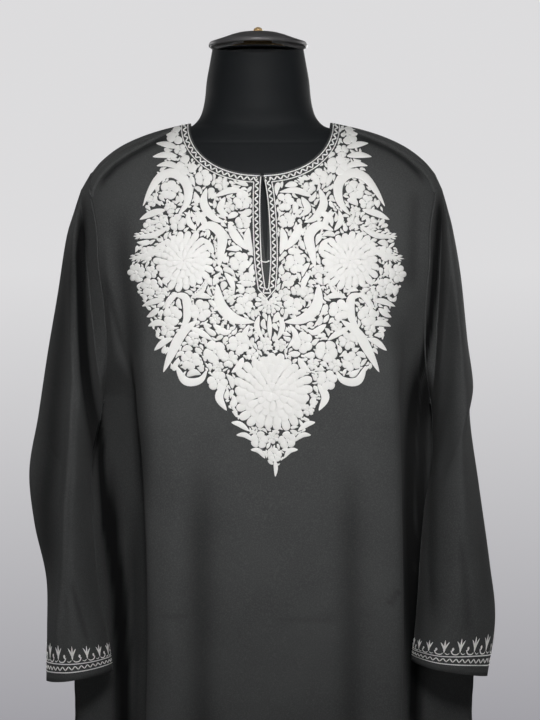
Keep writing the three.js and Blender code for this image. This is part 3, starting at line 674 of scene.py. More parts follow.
@dataclass(frozen=True)
class EmbroideryThread:
    """Warm white cotton and silk yarn, laid in rows of chain stitch."""

    name: str = "white_thread"
    bright: Colour = (0.91, 0.9, 0.88)
    # the dimmer end of the random tone, and the colour of the painted shade in the stitch grooves
    soft: Colour = (0.765, 0.755, 0.73)
    row: float = 0.0009
    link: float = 0.0022
    bump: Relief = (0.7, 0.0003)

    def make(self) -> bpy.types.Material:
        """Builds the material.

        Returns:
            Material that follows the thread's own UV map, with a tone for each motif and painted shade in the
            grooves between the stitches.
        """
        desk = MaterialDesk(self.name)
        stitch = desk.effect(chain_stitch(), "UV", Row=self.row, Link=self.link)["Height"]
        tone = desk.effect(wool_tone(), "Object", Clouds=60.0, Specks=1500.0)
        motif = desk.math("MULTIPLY", desk.mark("tone"), 0.6)
        dull = desk.math("ADD", motif, desk.math("MULTIPLY", tone["Cloud"], 0.25))
        ground = desk.blend(dull, self.bright, self.soft)
        looks = {
            # painted shade: the low parts of the stitches are darkened towards the soft colour
            "Base Color": desk.blend(desk.spread(stitch, 0.05, 0.55, 0.55, 0.0), ground, self.soft),
            "Roughness": desk.spread(stitch, 0.0, 1.0, 0.72, 0.5),
            "Specular IOR Level": 0.4,
            "Sheen Weight": 0.15,
        }
        return desk.finish(looks, self.bump, stitch)


@dataclass(frozen=True)
class FormJersey:
    """Black jersey stretched over the dress form."""

    name: str = "black_jersey"
    deep: Colour = (0.0055, 0.0068, 0.0078)
    worn: Colour = (0.0095, 0.0112, 0.0128)
    fibre: Colour = (0.025, 0.027, 0.03)
    bump: Relief = (0.3, 0.0002)

    def make(self) -> bpy.types.Material:
        """Builds the material.

        Returns:
            Material with the jersey's columns of loops.
        """
        desk = MaterialDesk(self.name)
        knit = desk.effect(chain_stitch(), "UV", Row=0.0008, Link=0.0012)["Height"]
        tone = desk.effect(wool_tone(), "Object", Clouds=7.0, Specks=1200.0)
        ground = desk.blend(tone["Cloud"], self.deep, self.worn)
        looks = {
            "Base Color": desk.blend(desk.math("MULTIPLY", tone["Specks"], 0.3), ground, self.fibre),
            "Roughness": desk.spread(tone["Cloud"], 0.0, 1.0, 0.62, 0.76),
            "Specular IOR Level": 0.22,
            "Sheen Weight": 0.03,
        }
        return desk.finish(looks, self.bump, knit)


@dataclass(frozen=True)
class WornMetal:
    """Bare or painted metal with fine grain and the smudges of hands."""

    name: str
    clean: Colour
    aged: Colour
    roughness: float
    metallic: float
    grain: float = 900.0
    bump: Relief = (0.08, 0.0003)

    def make(self) -> bpy.types.Material:
        """Builds the material.

        Returns:
            Material on the piece's own object coordinates.
        """
        desk = MaterialDesk(self.name)
        wear = desk.effect(hand_wear(), "Object", Grain=self.grain)
        smudge = desk.math("MULTIPLY", wear["Smudge"], 0.16)
        rough = desk.math("ADD", smudge, desk.math("MULTIPLY", wear["Grain"], 0.1))
        looks = {
            "Base Color": desk.blend(wear["Smudge"], self.clean, self.aged),
            "Roughness": desk.math("ADD", rough, self.roughness - 0.08),
            "Metallic": self.metallic,
        }
        return desk.finish(looks, self.bump, wear["Grain"])


@dataclass(frozen=True)
class StageBoard:
    """Plain pale floor, a little mottled."""

    name: str = "pale_floor"
    colour: Colour = (0.62, 0.62, 0.63)
    paler: float = 1.03

    def make(self) -> bpy.types.Material:
        """Builds the material.

        Returns:
            Material on the floor's own object coordinates.
        """
        desk = MaterialDesk(self.name)
        tone = desk.effect(wool_tone(), "Object", Clouds=1.5, Specks=60.0)
        paler = tuple(min(self.paler * c, 1) for c in self.colour)
        return desk.finish({"Base Color": desk.blend(tone["Cloud"], self.colour, paler), "Roughness": 0.9})


FINISHES = {
    "wool_cloth": WoolTwill(),
    "embroidery_thread": EmbroideryThread(),
    "form_cover": FormJersey(),
    "cap_metal": WornMetal("gunmetal", (0.13, 0.127, 0.13), (0.09, 0.088, 0.09), 0.46, 0.35),
    "brass": WornMetal("brass", (0.9, 0.64, 0.33), (0.74, 0.5, 0.24), 0.36, 0.45),
    "stand_paint": WornMetal(
        "black_powder_coat", (0.014, 0.0145, 0.016), (0.022, 0.022, 0.023), 0.5, 0.0, 1600.0, (0.35, 0.0003)
    ),
}


@cache
def slot_material(slot: str) -> bpy.types.Material:
    """The material of a slot, built when it is first asked for."""
    return FINISHES[slot].make()


def dress(piece: bpy.types.Object, slot: str, node: str | None = None) -> None:
    """Gives a piece the material of its slot, hangs it on its body and hides the solid that it replaces.

    Args:
        piece: The finished piece.
        slot: The record's material slot.
        node: Name of the solid that it replaces.
    """
    piece.data.materials.clear()
    piece.data.materials.append(slot_material(slot))
    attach(piece, "root")
    if node:
        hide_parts(node)
    LOG.info("%s: %d faces", piece.name, len(piece.data.polygons))


@dataclass
class TunicShape:
    """The tunic's outer faces, worked out from the plans in millimetres."""

    columns: int = 128
    round_rows: int = 22
    row_step: float = 5.2
    creases: dict[str, tuple[Crease, ...]] = field(default_factory=dict)

    def section(self, panel: Panel, place: np.ndarray, z: np.ndarray) -> tuple[np.ndarray, np.ndarray]:
        """Section of a panel.

        Args:
            panel: Which panel.
            place: Places across it, from -1 at the left seam to 1 at the right.
            z: Height of each place.

        Returns:
            Place across and distance out of each point.
        """
        held = np.minimum(z, TOP_SECTION_Z)
        half = HALF_PLACES[panel]
        plan = FRONT if panel is Panel.FRONT else BACK
        xs = [plan.read(f"x{k}", held) for k in range(len(half) - 1)] + [FRONT.read("x4", held)]
        outs = [plan.read(f"f{k}", held) for k in range(len(half))]
        if panel is Panel.BACK:
            below = soft_step((UNDERARM_Z + 0.5 - z) / 0.5)
            outs[-1] = (1 - below) * outs[-1] - below * FRONT.read("f4", held)
        keys = [-p for p in half[:0:-1]] + list(half)
        x = smooth_curve(keys, np.array([-a for a in xs[:0:-1]] + xs), place) + self.sideways(place, z)
        out = smooth_curve(keys, np.array(outs[:0:-1] + outs), place)
        return x, out + self.folds(panel, place, x, z)

    def sideways(self, place: np.ndarray, z: np.ndarray) -> np.ndarray:
        """Shift of the section at each place: the lean, and the spread below the left underarm."""
        spread = soft_step((-place - SPREAD_FROM) / (1 - SPREAD_FROM)) * LEFT_SPREAD.read("x", z)
        return LEAN.read("x", z) - spread

    def folds(self, panel: Panel, place: np.ndarray, x: np.ndarray, z: np.ndarray) -> np.ndarray:
        """Hanging folds and creases of a panel, dying out towards its seams.

        Args:
            panel: Which panel.
            place: Places across it, -1 to 1.
            x: Places across it, mm.
            z: Heights, mm.

        Returns:
            Push outwards, mm.
        """
        out = np.zeros_like(x)
        for centre, push, width, start_z, full_z in FOLDS[panel]:
            grown = soft_step((start_z - z) / (start_z - full_z))
            out += push * grown * np.exp(-(((place - centre) / width) ** 2))
        for crease in self.creases.get(panel.value, ()):
            out += crease.out * crease.near(x, z)
        return out * soft_step((1 - np.abs(place)) / FOLD_FREE)

    def ridge(self, place: np.ndarray) -> np.ndarray:
        """Height of the shoulder ridge over places across the front."""
        top = np.full_like(place, TOP_SECTION_Z)
        x, _ = self.section(Panel.FRONT, place, top)
        return RIDGE.read("z", np.abs(x - LEAN.read("x", top)))

    def body(self, panel: Panel, place: np.ndarray, drop: np.ndarray) -> Grid:
        """Points of the body.

        Args:
            panel: Which panel.
            place: Places across, -1 to 1.
            drop: Drop below the ridge at the side; on the back, below 0 lies in front of the ridge.

        Returns:
            Points in mm, with the shape of place and a last axis of 3.
        """
        top = self.ridge(place)
        fall = np.abs(drop) * (top - HEM_Z) / BODY_DROP
        z = top - fall
        face = np.empty(place.shape + (3,))
        in_front = drop < 0 if panel is Panel.BACK else np.ones(place.shape, bool)
        for side, chosen, way in ((Panel.FRONT, in_front, -1), (Panel.BACK, ~in_front, 1)):
            if chosen.any():
                x, out = self.section(side, place[chosen], z[chosen])
                left = 1 - np.minimum(fall[chosen] / ROUND[side], 1)
                face[chosen] = np.stack([x, way * out * np.sqrt(1 - left * left), z[chosen]], -1)
        return face

    def panel(self, panel: Panel) -> Grid:
        """Grid of a whole panel.

        Args:
            panel: Which panel.

        Returns:
            A row for each drop, close together round the shoulder, and a column for each place across.
        """
        span = ROUND[panel]
        start = math.acos(1 - SEAM_DROP / ROUND[Panel.FRONT])
        if panel is Panel.FRONT:
            rounded = span * (1 - np.cos(np.linspace(start, math.pi / 2, self.round_rows)))
        else:
            strip = -ROUND[Panel.FRONT] * (1 - np.cos(np.linspace(start, 0, 6)))
            over = span * (1 - np.cos(np.linspace(0, math.pi / 2, self.round_rows)))
            rounded = np.concatenate([strip[:-1], over])
        rest = np.linspace(span, BODY_DROP, int((BODY_DROP - span) / self.row_step))
        drops = np.concatenate([rounded, rest[1:]])
        return self.body(panel, *np.meshgrid(np.linspace(-1, 1, self.columns + 1), drops))

    def edge(self, panel: Panel, side: Side, drops: np.ndarray) -> Grid:
        """Points of a panel's side edge at some drops."""
        return self.body(panel, np.full(drops.shape, float(side.value)), drops)

    def armhole(self, side: Side) -> Grid:
        """Ring of an armhole, from the shoulder seam down the front and up the back.

        Args:
            side: Which armhole.

        Returns:
            Points in mm.
        """
        half = UNDERARM_DROP / 2
        start = math.acos(1 - SEAM_DROP / half)
        down = half * (1 - np.cos(np.linspace(start, math.pi, ARMHOLE_POINTS)))
        up = half * (1 - np.cos(np.linspace(math.pi, 0, ARMHOLE_POINTS)))[1:]
        drops = np.concatenate([up, -SEAM_DROP * np.array([0.25, 0.6])])
        return np.concatenate([self.edge(Panel.FRONT, side, down), self.edge(Panel.BACK, side, drops)])

    def sleeve(self, side: Side, rings: int = 150) -> Grid:
        """Grid of a sleeve, a row for each ring from the armhole to the cuff.

        Args:
            side: Which sleeve.
            rings: Number of rings.

        Returns:
            Points in mm.
        """
        plan = LEFT_SLEEVE if side is Side.LEFT else RIGHT_SLEEVE
        armhole = self.armhole(side)
        at = np.linspace(0, 1, rings)[:, None]
        read = {name: plan.read(name, at) for name in SLEEVE_COLUMNS[1:]}
        place = np.clip(2 * (armhole[:, 2] - UNDERARM_Z) / UNDERARM_DROP - 1, -1, 1)[None, :]
        above = (place - read["ridge"]) / (1 - read["ridge"])
        below = (read["ridge"] - place) / (1 + read["ridge"])
        away = np.where(place > read["ridge"], above, below)
        deep = read["depth"] * np.maximum(1 - np.abs(away) ** read["round"], 0) ** (1 / read["round"])
        sign = np.sign(armhole[:, 1])[None, :]
        share = (1 + place) / 2
        x = side.value * (read["inner_x"] + (read["outer_x"] - read["inner_x"]) * share)
        z = read["inner_z"] + (read["outer_z"] - read["inner_z"]) * share
        points = np.stack([x, sign * deep - read["forward"], z], -1)
        held = soft_step(1.6 * (deep / np.maximum(read["depth"], 1)))
        for key, chosen, way in (("", sign < 0, -1), ("_back", sign >= 0, 1)):
            for crease in self.creases.get(f"sleeve_{side.name.lower()}{key}", ()):
                push = crease.out * crease.near(points[..., 0], points[..., 2]) * held
                points[..., 1] += np.where(chosen, way * push, 0)
        joined = soft_step(at / plan.rows[0][0])[..., None]
        return (1 - joined) * armhole[None] + joined * points


@dataclass(frozen=True)
class Neckline:
    """Round neckline with a short slit at the front, in mm as seen from the front."""

    half_width: float = 80
    z: float = 1363
    front_depth: float = 65
    back_depth: float = 19
    roundness: float = 2.2
    lean: float = 3
    slit_top: Point = (3.4, 1306)
    slit_foot: Point = (9.6, 1197)
    slit_half: float = 3.8
    tip_z: float = 1172
    slit_nearer: float = 1.5
    band: Plan = Plan(
        ("z", "half"),
        (
            (1306, 0.3), (1294, 0.9), (1282, 2.4), (1260, 3.9), (1230, 4.5), (1200, 4), (1186, 2.8),
            (1172, 1.2),
        ),
    )

    def bowl(self, depth: float, steps: int = 96) -> np.ndarray:
        """Edge of the neckline from left to right.

        Args:
            depth: How deep it reaches below its sides, mm.
            steps: Number of steps.

        Returns:
            Places across and heights.
        """
        angle = np.linspace(0, math.pi, steps + 1)
        power = 2 / self.roundness
        c = np.cos(angle)
        x = self.lean - np.sign(c) * self.half_width * np.abs(c) ** power
        return np.stack([x, self.z - depth * np.sin(angle) ** power], -1)

    def opening(self, depth: float, above: float = 40) -> np.ndarray:
        """Outline that cuts the neckline: the bowl with the given depth, and straight up above it."""
        ends = [(self.lean + way * self.half_width, self.z + above) for way in (-1, 1)]
        return np.vstack([ends[0], self.bowl(depth), ends[1]])

    def slit_middle(self, z: np.ndarray) -> np.ndarray:
        """Place across of the slit's middle at some heights."""
        (top_x, top_z), (foot_x, foot_z) = self.slit_top, self.slit_foot
        t = np.clip((top_z - z) / (top_z - foot_z), 0, None)
        return top_x + (foot_x - top_x) * np.sqrt(t)

    def slit(self, steps: int = 24) -> np.ndarray:
        """Outline of the slit, a narrow lens.

        Args:
            steps: Number of steps down each side.

        Returns:
            Places across and heights.
        """
        t = np.linspace(0, 1, steps + 1)
        z = self.slit_top[1] + (self.slit_foot[1] - self.slit_top[1]) * t
        half = np.maximum(self.slit_half * (0.3 * (1 - t) + 0.7 * np.sin(math.pi * t)), 0.3)
        left, right = (np.stack([self.slit_middle(z) + way * half, z], -1) for way in (-1, 1))
        return np.vstack([left, right[::-1]])

    def border(self, side: Side, aside: float) -> np.ndarray:
        """Line of the border at some distance from the edge, from the shoulder to the point under the slit.

        Args:
            side: Which side of the slit.
            aside: Distance from the edge, mm.

        Returns:
            Places across and heights, 1.2 mm apart.
        """
        bowl = self.bowl(self.front_depth, 240)
        around = bowl - aside * sides_of(bowl)
        if side is Side.RIGHT:
            around = around[::-1]
        z = np.linspace(self.slit_top[1] - 4, self.tip_z - 1.3 * aside, 160)
        aside_slit = aside - self.slit_nearer
        half = self.band.read("half", z) + aside_slit
        half = np.minimum(half, np.maximum(0.9 * (z - self.tip_z + 1.3 * aside), 0))
        down = np.stack([self.slit_middle(z) + side.value * half, z], -1)
        reach = side.value * (around[:, 0] - self.slit_middle(around[:, 1]))
        corner = int(np.argmax(reach < self.band.read("half", around[:, 1]) + aside_slit))
        below = down[down[:, 1] < around[corner, 1]]
        return even_steps(np.vstack([around[:corner], below]), 1.2)


def even_steps(line: np.ndarray, step: float) -> np.ndarray:
    """Points at even steps along a line.

    Args:
        line: Points of the line.
        step: Wished distance between points.

    Returns:
        New points from end to end.
    """
    along = lengths_along(line)
    count = max(int(round(along[-1] / step)), 2)
    places = np.linspace(0, along[-1], count + 1)
    return np.stack([np.interp(places, along, line[:, k]) for k in range(line.shape[1])], -1)


@dataclass
class Ground:
    """Cloth that embroidery is sewn on: a grid of points in mm with a measure along its rows and columns."""

    points: Grid
    normals: Grid
    across: np.ndarray
    up: np.ndarray

    def lay(self, places: np.ndarray, lift: np.ndarray) -> np.ndarray:
        """Lays flat places onto the cloth.

        Args:
            places: Places across and up, mm, with a last axis of 2.
            lift: Height above the cloth of each, mm.

        Returns:
            Points in metres.
        """
        cells = []
        for k, marks in enumerate((self.across, self.up)):
            cell = np.interp(places[..., k], marks, np.arange(len(marks)))
            cells.append(np.clip(cell, 0, len(marks) - 1.001))
        a, b = cells
        i, j = b.astype(int), a.astype(int)
        s, t = (b - i)[..., None], (a - j)[..., None]

        def at(source: Grid) -> np.ndarray:
            """Source between its four nearest grid points."""
            low = source[i, j] * (1 - t) + source[i, j + 1] * t
            high = source[i + 1, j] * (1 - t) + source[i + 1, j + 1] * t
            return low * (1 - s) + high * s

        return (at(self.points) + at(self.normals) * np.asarray(lift)[..., None]) * MM


def front_ground(shape: TunicShape) -> Ground:
    """Ground of the yoke: the front's outer face over places across and heights.

    Args:
        shape: The tunic's outer faces.

    Returns:
        The ground.
    """
    across = np.arange(-190.0, 202.0, GROUND_CELL)
    up = np.arange(940.0, 1366.0, GROUND_CELL)
    place = np.linspace(-1, 1, 193)
    rows = []
    for z in up:
        x, out = shape.section(Panel.FRONT, place, np.full(place.shape, z))
        fall = np.maximum(shape.ridge(place) - z, 0)
        left = 1 - np.minimum(fall / ROUND[Panel.FRONT], 1)
        rows.append(np.interp(across, x, -out * np.sqrt(1 - left * left)))
    depth = np.array(rows)
    points = np.stack(np.broadcast_arrays(across[None, :], depth, up[:, None]), -1)
    by_z, by_x = np.gradient(depth, GROUND_CELL)
    normals = np.stack([by_x, np.full_like(depth, -1), by_z], -1)
    return Ground(points, normals / np.linalg.norm(normals, axis=-1, keepdims=True), across, up)


def cuff_ground(sleeve: Grid, rows: int = 40) -> Ground:
    """Ground of a cuff: measured round the hem from the inner line, and up from the hem.

    Args:
        sleeve: The sleeve's grid, mm, from the armhole to the cuff.
        rows: Rows above the hem that are kept.

    Returns:
        The ground.
    """
    cuff = sleeve[-rows:][::-1]
    cuff = np.concatenate([cuff, cuff[:, :1]], 1)
    normals = grid_normals(cuff)
    if np.sum(normals * (cuff - cuff.mean(axis=(0, 1)))) < 0:
        normals = -normals
    return Ground(cuff, normals, steps_along(cuff, 1)[0], steps_along(cuff, 0).mean(axis=1))


@dataclass
class Tunic:
    """The sewn wool pieces of the tunic."""

    shape: TunicShape
    neckline: Neckline = field(default_factory=Neckline)
    wall: float = 0.0014
    # strongest painted shade that the creases may lay on the cloth
    painted_shade_limit: float = 0.96
    reach: float = 300

    def cloth(self, name: str, grid: Grid, closed: bool = False) -> bpy.types.Object:
        """Makes a wall of cloth from its outer face.

        Args:
            name: Name of the piece.
            grid: Outer face, mm.
            closed: Whether its rows are rings.

        Returns:
            The piece, with its UV map in metres.
        """
        if closed:
            grid = np.concatenate([grid, grid[:, :1]], 1)
        across = steps_along(grid, 1)
        middle = grid.shape[1] // 2
        across = across - across[:, middle : middle + 1]
        uvs = np.stack([across, -steps_along(grid, 0)], -1).reshape(-1, 2) * MM
        piece = mesh_piece(name, grid.reshape(-1, 3) * MM, grid_faces(*grid.shape[:2]), uvs)
        if closed:
            clean_mesh(piece, merge=True, outward=False)
        centres, normals = (read_vectors(piece.data.polygons, kind) for kind in ("center", "normal"))
        away = centres * (1, 1, 0)
        if closed:
            away = centres - grid.mean(axis=1).repeat(grid.shape[1] - 1, axis=0)[: len(centres)] * MM
        if np.sum(away * normals) < 0:
            piece.data.flip_normals()
        apply_modifier(piece, "SOLIDIFY", thickness=self.wall, offset=-1.0, use_even_offset=False)
        return piece

    def cut(self, piece: bpy.types.Object, outline: np.ndarray, from_y: float, to_y: float) -> None:
        """Cuts an opening through a piece.

        Args:
            piece: The piece.
            outline: Places across and heights of the opening, mm.
            from_y: Where the cut starts, mm.
            to_y: Where it ends.
        """
        ends = [np.insert(outline, 1, y, axis=1) for y in (from_y, to_y)]
        cutter = mesh_piece("neck_cutter", np.vstack(ends) * MM, tube_faces(2, len(outline)))
        clean_mesh(cutter)
        apply_modifier(piece, "BOOLEAN", operation="DIFFERENCE", solver="EXACT", object=cutter)
        bpy.data.meshes.remove(cutter.data)

    def paint_fold_shade(self, piece: bpy.types.Object, creases: Sequence[Crease]) -> None:
        """Marks how much painted shade each point of a piece gets along its creases, for the cloth's colour.

        Args:
            piece: The piece.
            creases: Its creases.
        """
        x, _, z = read_vectors(piece.data.vertices, "co").T / MM
        depth = np.zeros(len(x))
        for crease in creases:
            depth = np.maximum(depth, np.minimum(crease.painted_shade * crease.near(x, z), self.painted_shade_limit))
        # except on the back panel, the painted shade fades out where the faces turn towards the back
        if piece.name != "back_panel":
            depth *= soft_step((0.7 - read_vectors(piece.data.vertices, "normal")[:, 1]) / 0.5)
        # the depth mark holds the strength of the painted fold shade
        mark_points(piece, "depth", depth)

    def build(self) -> None:
        """Builds, cuts and dresses the four pieces."""
        bowl = self.neckline.opening(self.neckline.front_depth)
        front = self.cloth("front_panel", self.shape.panel(Panel.FRONT))
        self.cut(front, bowl, -self.reach, 0)
        self.cut(front, self.neckline.slit(), -self.reach, 0)
        back = self.cloth("back_panel", self.shape.panel(Panel.BACK))
        self.cut(back, bowl, -self.reach, 0)
        self.cut(back, self.neckline.opening(self.neckline.back_depth), -0.01, self.reach)
        left = self.cloth("sleeve_left_cloth", self.shape.sleeve(Side.LEFT), True)
        right = self.cloth("sleeve_right_cloth", self.shape.sleeve(Side.RIGHT), True)
        pieces = {"front": front, "back": back, "sleeve_left": left, "sleeve_right": right}
        for node, piece in pieces.items():
            self.paint_fold_shade(piece, self.shape.creases.get(node, ()))
            dress(piece, "wool_cloth", node)


class Blade(Enum):
    """Outline of one sewn shape from its foot to its tip: where it is widest, and how full it is."""

    LEAF = (0.45, 0.8)
    PETAL = (0.62, 0.5)
    DROP = (0.7, 0.62)
    CLAW = (0.3, 0.75)
    RAY = (0.74, 0.42)
    STEM = (0.5, 0.12)

    def widths(self, t: np.ndarray) -> np.ndarray:
        """Share of the full width at places from foot (0) to tip (1)."""
        widest, fullness = self.value
        bent = t ** (math.log(0.5) / math.log(widest))
        return np.maximum(np.sin(math.pi * bent), 0) ** fullness


@dataclass
class Stroke:
    """One shape filled with thread: its line and widths in mm, how high it stands, and its tone."""

    line: np.ndarray
    widths: np.ndarray
    rise: float
    lift: float = 0.0
    tone: float = 0.0


def sweep(
    points: Sequence[Point], width: float, blade: Blade = Blade.LEAF, rise: float = 0.6, lift: float = 0.0
) -> Stroke:
    """Shape along a smooth line.

    Args:
        points: Places that its line passes, mm.
        width: Greatest width, mm.
        blade: Its outline.
        rise: Height of its crown, mm.
        lift: Height of its foot above the cloth, mm.

    Returns:
        The stroke.
    """
    marks = np.array(points, float)
    keys = lengths_along(marks)
    t = np.linspace(0, 1, int(np.clip(keys[-1] / 1.3, 5, 30)) + 1)
    if blade is not Blade.STEM:
        t = (1 - np.cos(math.pi * t)) / 2
    line = np.stack([smooth_curve(keys, marks[:, k], t * keys[-1]) for k in range(2)], -1)
    return Stroke(line, np.maximum(width * blade.widths(t), NARROWEST), rise, lift)


def bent_blade(
    foot: Point,
    angle: float,
    length: float,
    width: float,
    bend: float,
    blade: Blade,
    rise: float,
    lift: float = 0.0,
) -> Stroke:
    """Shape from a foot in a direction, bowed to one side.

    Args:
        foot: Where it starts, mm.
        angle: Its direction, radians.
        length: Its length, mm.
        width: Its greatest width, mm.
        bend: How far its middle bows out, as a share of its length.
        blade: Its outline.
        rise: Height of its crown, mm.
        lift: Height of its foot above the cloth, mm.

    Returns:
        The stroke.
    """
    run = np.array([math.cos(angle), math.sin(angle)])
    side = np.array([-run[1], run[0]])
    start = np.array(foot, float)
    middle = start + run * length / 2 + side * bend * length
    return sweep((start, middle, start + run * length), width, blade, rise, lift)


def outwards(centre: Point, reach: float, angle: float) -> Point:
    """Place at some distance and direction from a centre."""
    return centre[0] + reach * math.cos(angle), centre[1] + reach * math.sin(angle)


def blossom(centre: Point, radius: float, petals: int, turn: float) -> list[Stroke]:
    """Small flower of round petals that close up, with a raised heart.

    Args:
        centre: Its middle, mm.
        radius: Its radius, mm.
        petals: Number of petals.
        turn: Turn of its first petal, radians.

    Returns:
        The strokes.
    """
    strokes = []
    width = 1.32 * math.tau * 0.6 * radius / petals
    for k in range(petals):
        angle = turn + math.tau * k / petals
        foot = outwards(centre, 0.12 * radius, angle)
        bend, lift = 0.07 if k % 2 else -0.05, 0.05 * (k % 3)
        strokes.append(bent_blade(foot, angle, 0.88 * radius, width, bend, Blade.PETAL, 0.65, lift))
    heart = (centre[0] - 0.2 * radius, centre[1])
    strokes.append(bent_blade(heart, 0.0, 0.4 * radius, 0.36 * radius, 0, Blade.STEM, 0.4, 0.65))
    return strokes


def layered_flower(
    centre: Point, radius: float, turn: float, rings: Sequence[tuple[float, float, int]]
) -> list[Stroke]:
    """Large flower of rings of narrow petals, each ring standing on the one outside it.

    Args:
        centre: Its middle, mm.
        radius: Its radius, mm.
        turn: Turn of its first petal, radians.
        rings: Share of the radius at the petals' tips and feet, and their number, from outside in.

    Returns:
        The strokes, outer ring first.
    """
    strokes = []
    for layer, (tip, foot, count) in enumerate(rings):
        width = 1.12 * math.tau * (0.42 * tip + 0.58 * foot + 0.1) * radius / count
        for k in range(count):
            angle = turn + math.tau * (k + 0.5 * (layer % 2)) / count
            start = outwards(centre, foot * radius, angle)
            length = (tip * (1 + 0.07 * math.sin(5.1 * k + layer)) - foot) * radius
            strokes.append(bent_blade(start, angle, length, width, 0.05, Blade.RAY, 0.6, 0.3 * layer))
    return strokes


def feather(foot: Point, tip: Point, width: float, bow: float, pairs: int = 7) -> list[Stroke]:
    """Leaf with a saw edge: pairs of narrow leaflets on a bowed vein.

    Args:
        foot: Where it starts, mm.
        tip: Its tip, mm.
        width: Its full width, mm.
        bow: How far the vein bows out, as a share of its length.
        pairs: Pairs of leaflets.

    Returns:
        The strokes.
    """
    start, end = np.array(foot, float), np.array(tip, float)
    run = end - start
    middle = (start + end) / 2 + bow * np.array([-run[1], run[0]])
    vein = sweep((start, middle, end), 0.62 * width, Blade.LEAF, 0.75, 0.1)
    strokes = []
    for k in range(pairs):
        t = 0.04 + 0.9 * k / pairs
        at = (1 - t) ** 2 * start + 2 * t * (1 - t) * middle + t * t * end
        ahead = 2 * (1 - t) * (middle - start) + 2 * t * (end - middle)
        heading = math.atan2(ahead[1], ahead[0])
        reach = width * (0.62 + 0.55 * t) * (1 - t) ** 0.3
        for hand in (-1, 1):
            turn = hand * math.radians(36 - 14 * t)
            strokes.append(bent_blade(at, heading + turn, reach, 0.27 * width, 0.1 * hand, Blade.LEAF, 0.6))
    return [*strokes, vein]


def heart_bud(centre: Point, size: float, turn: float) -> list[Stroke]:
    """Bud of two lobes over three small sepals.

    Args:
        centre: Where lobes and sepals meet, mm.
        size: Length of a lobe, mm.
        turn: Its direction, radians.

    Returns:
        The strokes.
    """
    strokes = []
    for lean in (-0.5, 0.5):
        strokes.append(bent_blade(centre, turn + lean, size, 0.75 * size, 0.08 * lean, Blade.DROP, 1.0))
    for lean in (-0.8, 0.0, 0.8):
        angle = turn + math.pi + lean
        strokes.append(bent_blade(centre, angle, 0.5 * size, 0.22 * size, 0, Blade.LEAF, 0.7))
    return strokes


def tulip(foot: Point, height: float) -> list[Stroke]:
    """Three prongs of thread on a small cup.

    Args:
        foot: Where it starts, mm.
        height: Its height, mm.

    Returns:
        The strokes.
    """
    strokes = [bent_blade(foot, math.pi / 2, 0.46 * height, 0.17 * height, 0, Blade.DROP, 0.7)]
    start = (foot[0], foot[1] + 0.22 * height)
    for lean, length in ((0.44, 0.7), (0.0, 0.78), (-0.44, 0.68)):
        angle, width = math.pi / 2 + lean, 0.125 * height
        strokes.append(bent_blade(start, angle, length * height, width, -0.12 * lean, Blade.LEAF, 0.7))
    return strokes


def chain_widths(along: np.ndarray, width: float) -> np.ndarray:
    """Widths of a line of chain stitch, nipped in where two stitches meet."""
    return width * (0.78 + 0.22 * np.abs(np.sin(math.pi * along / STITCH)))


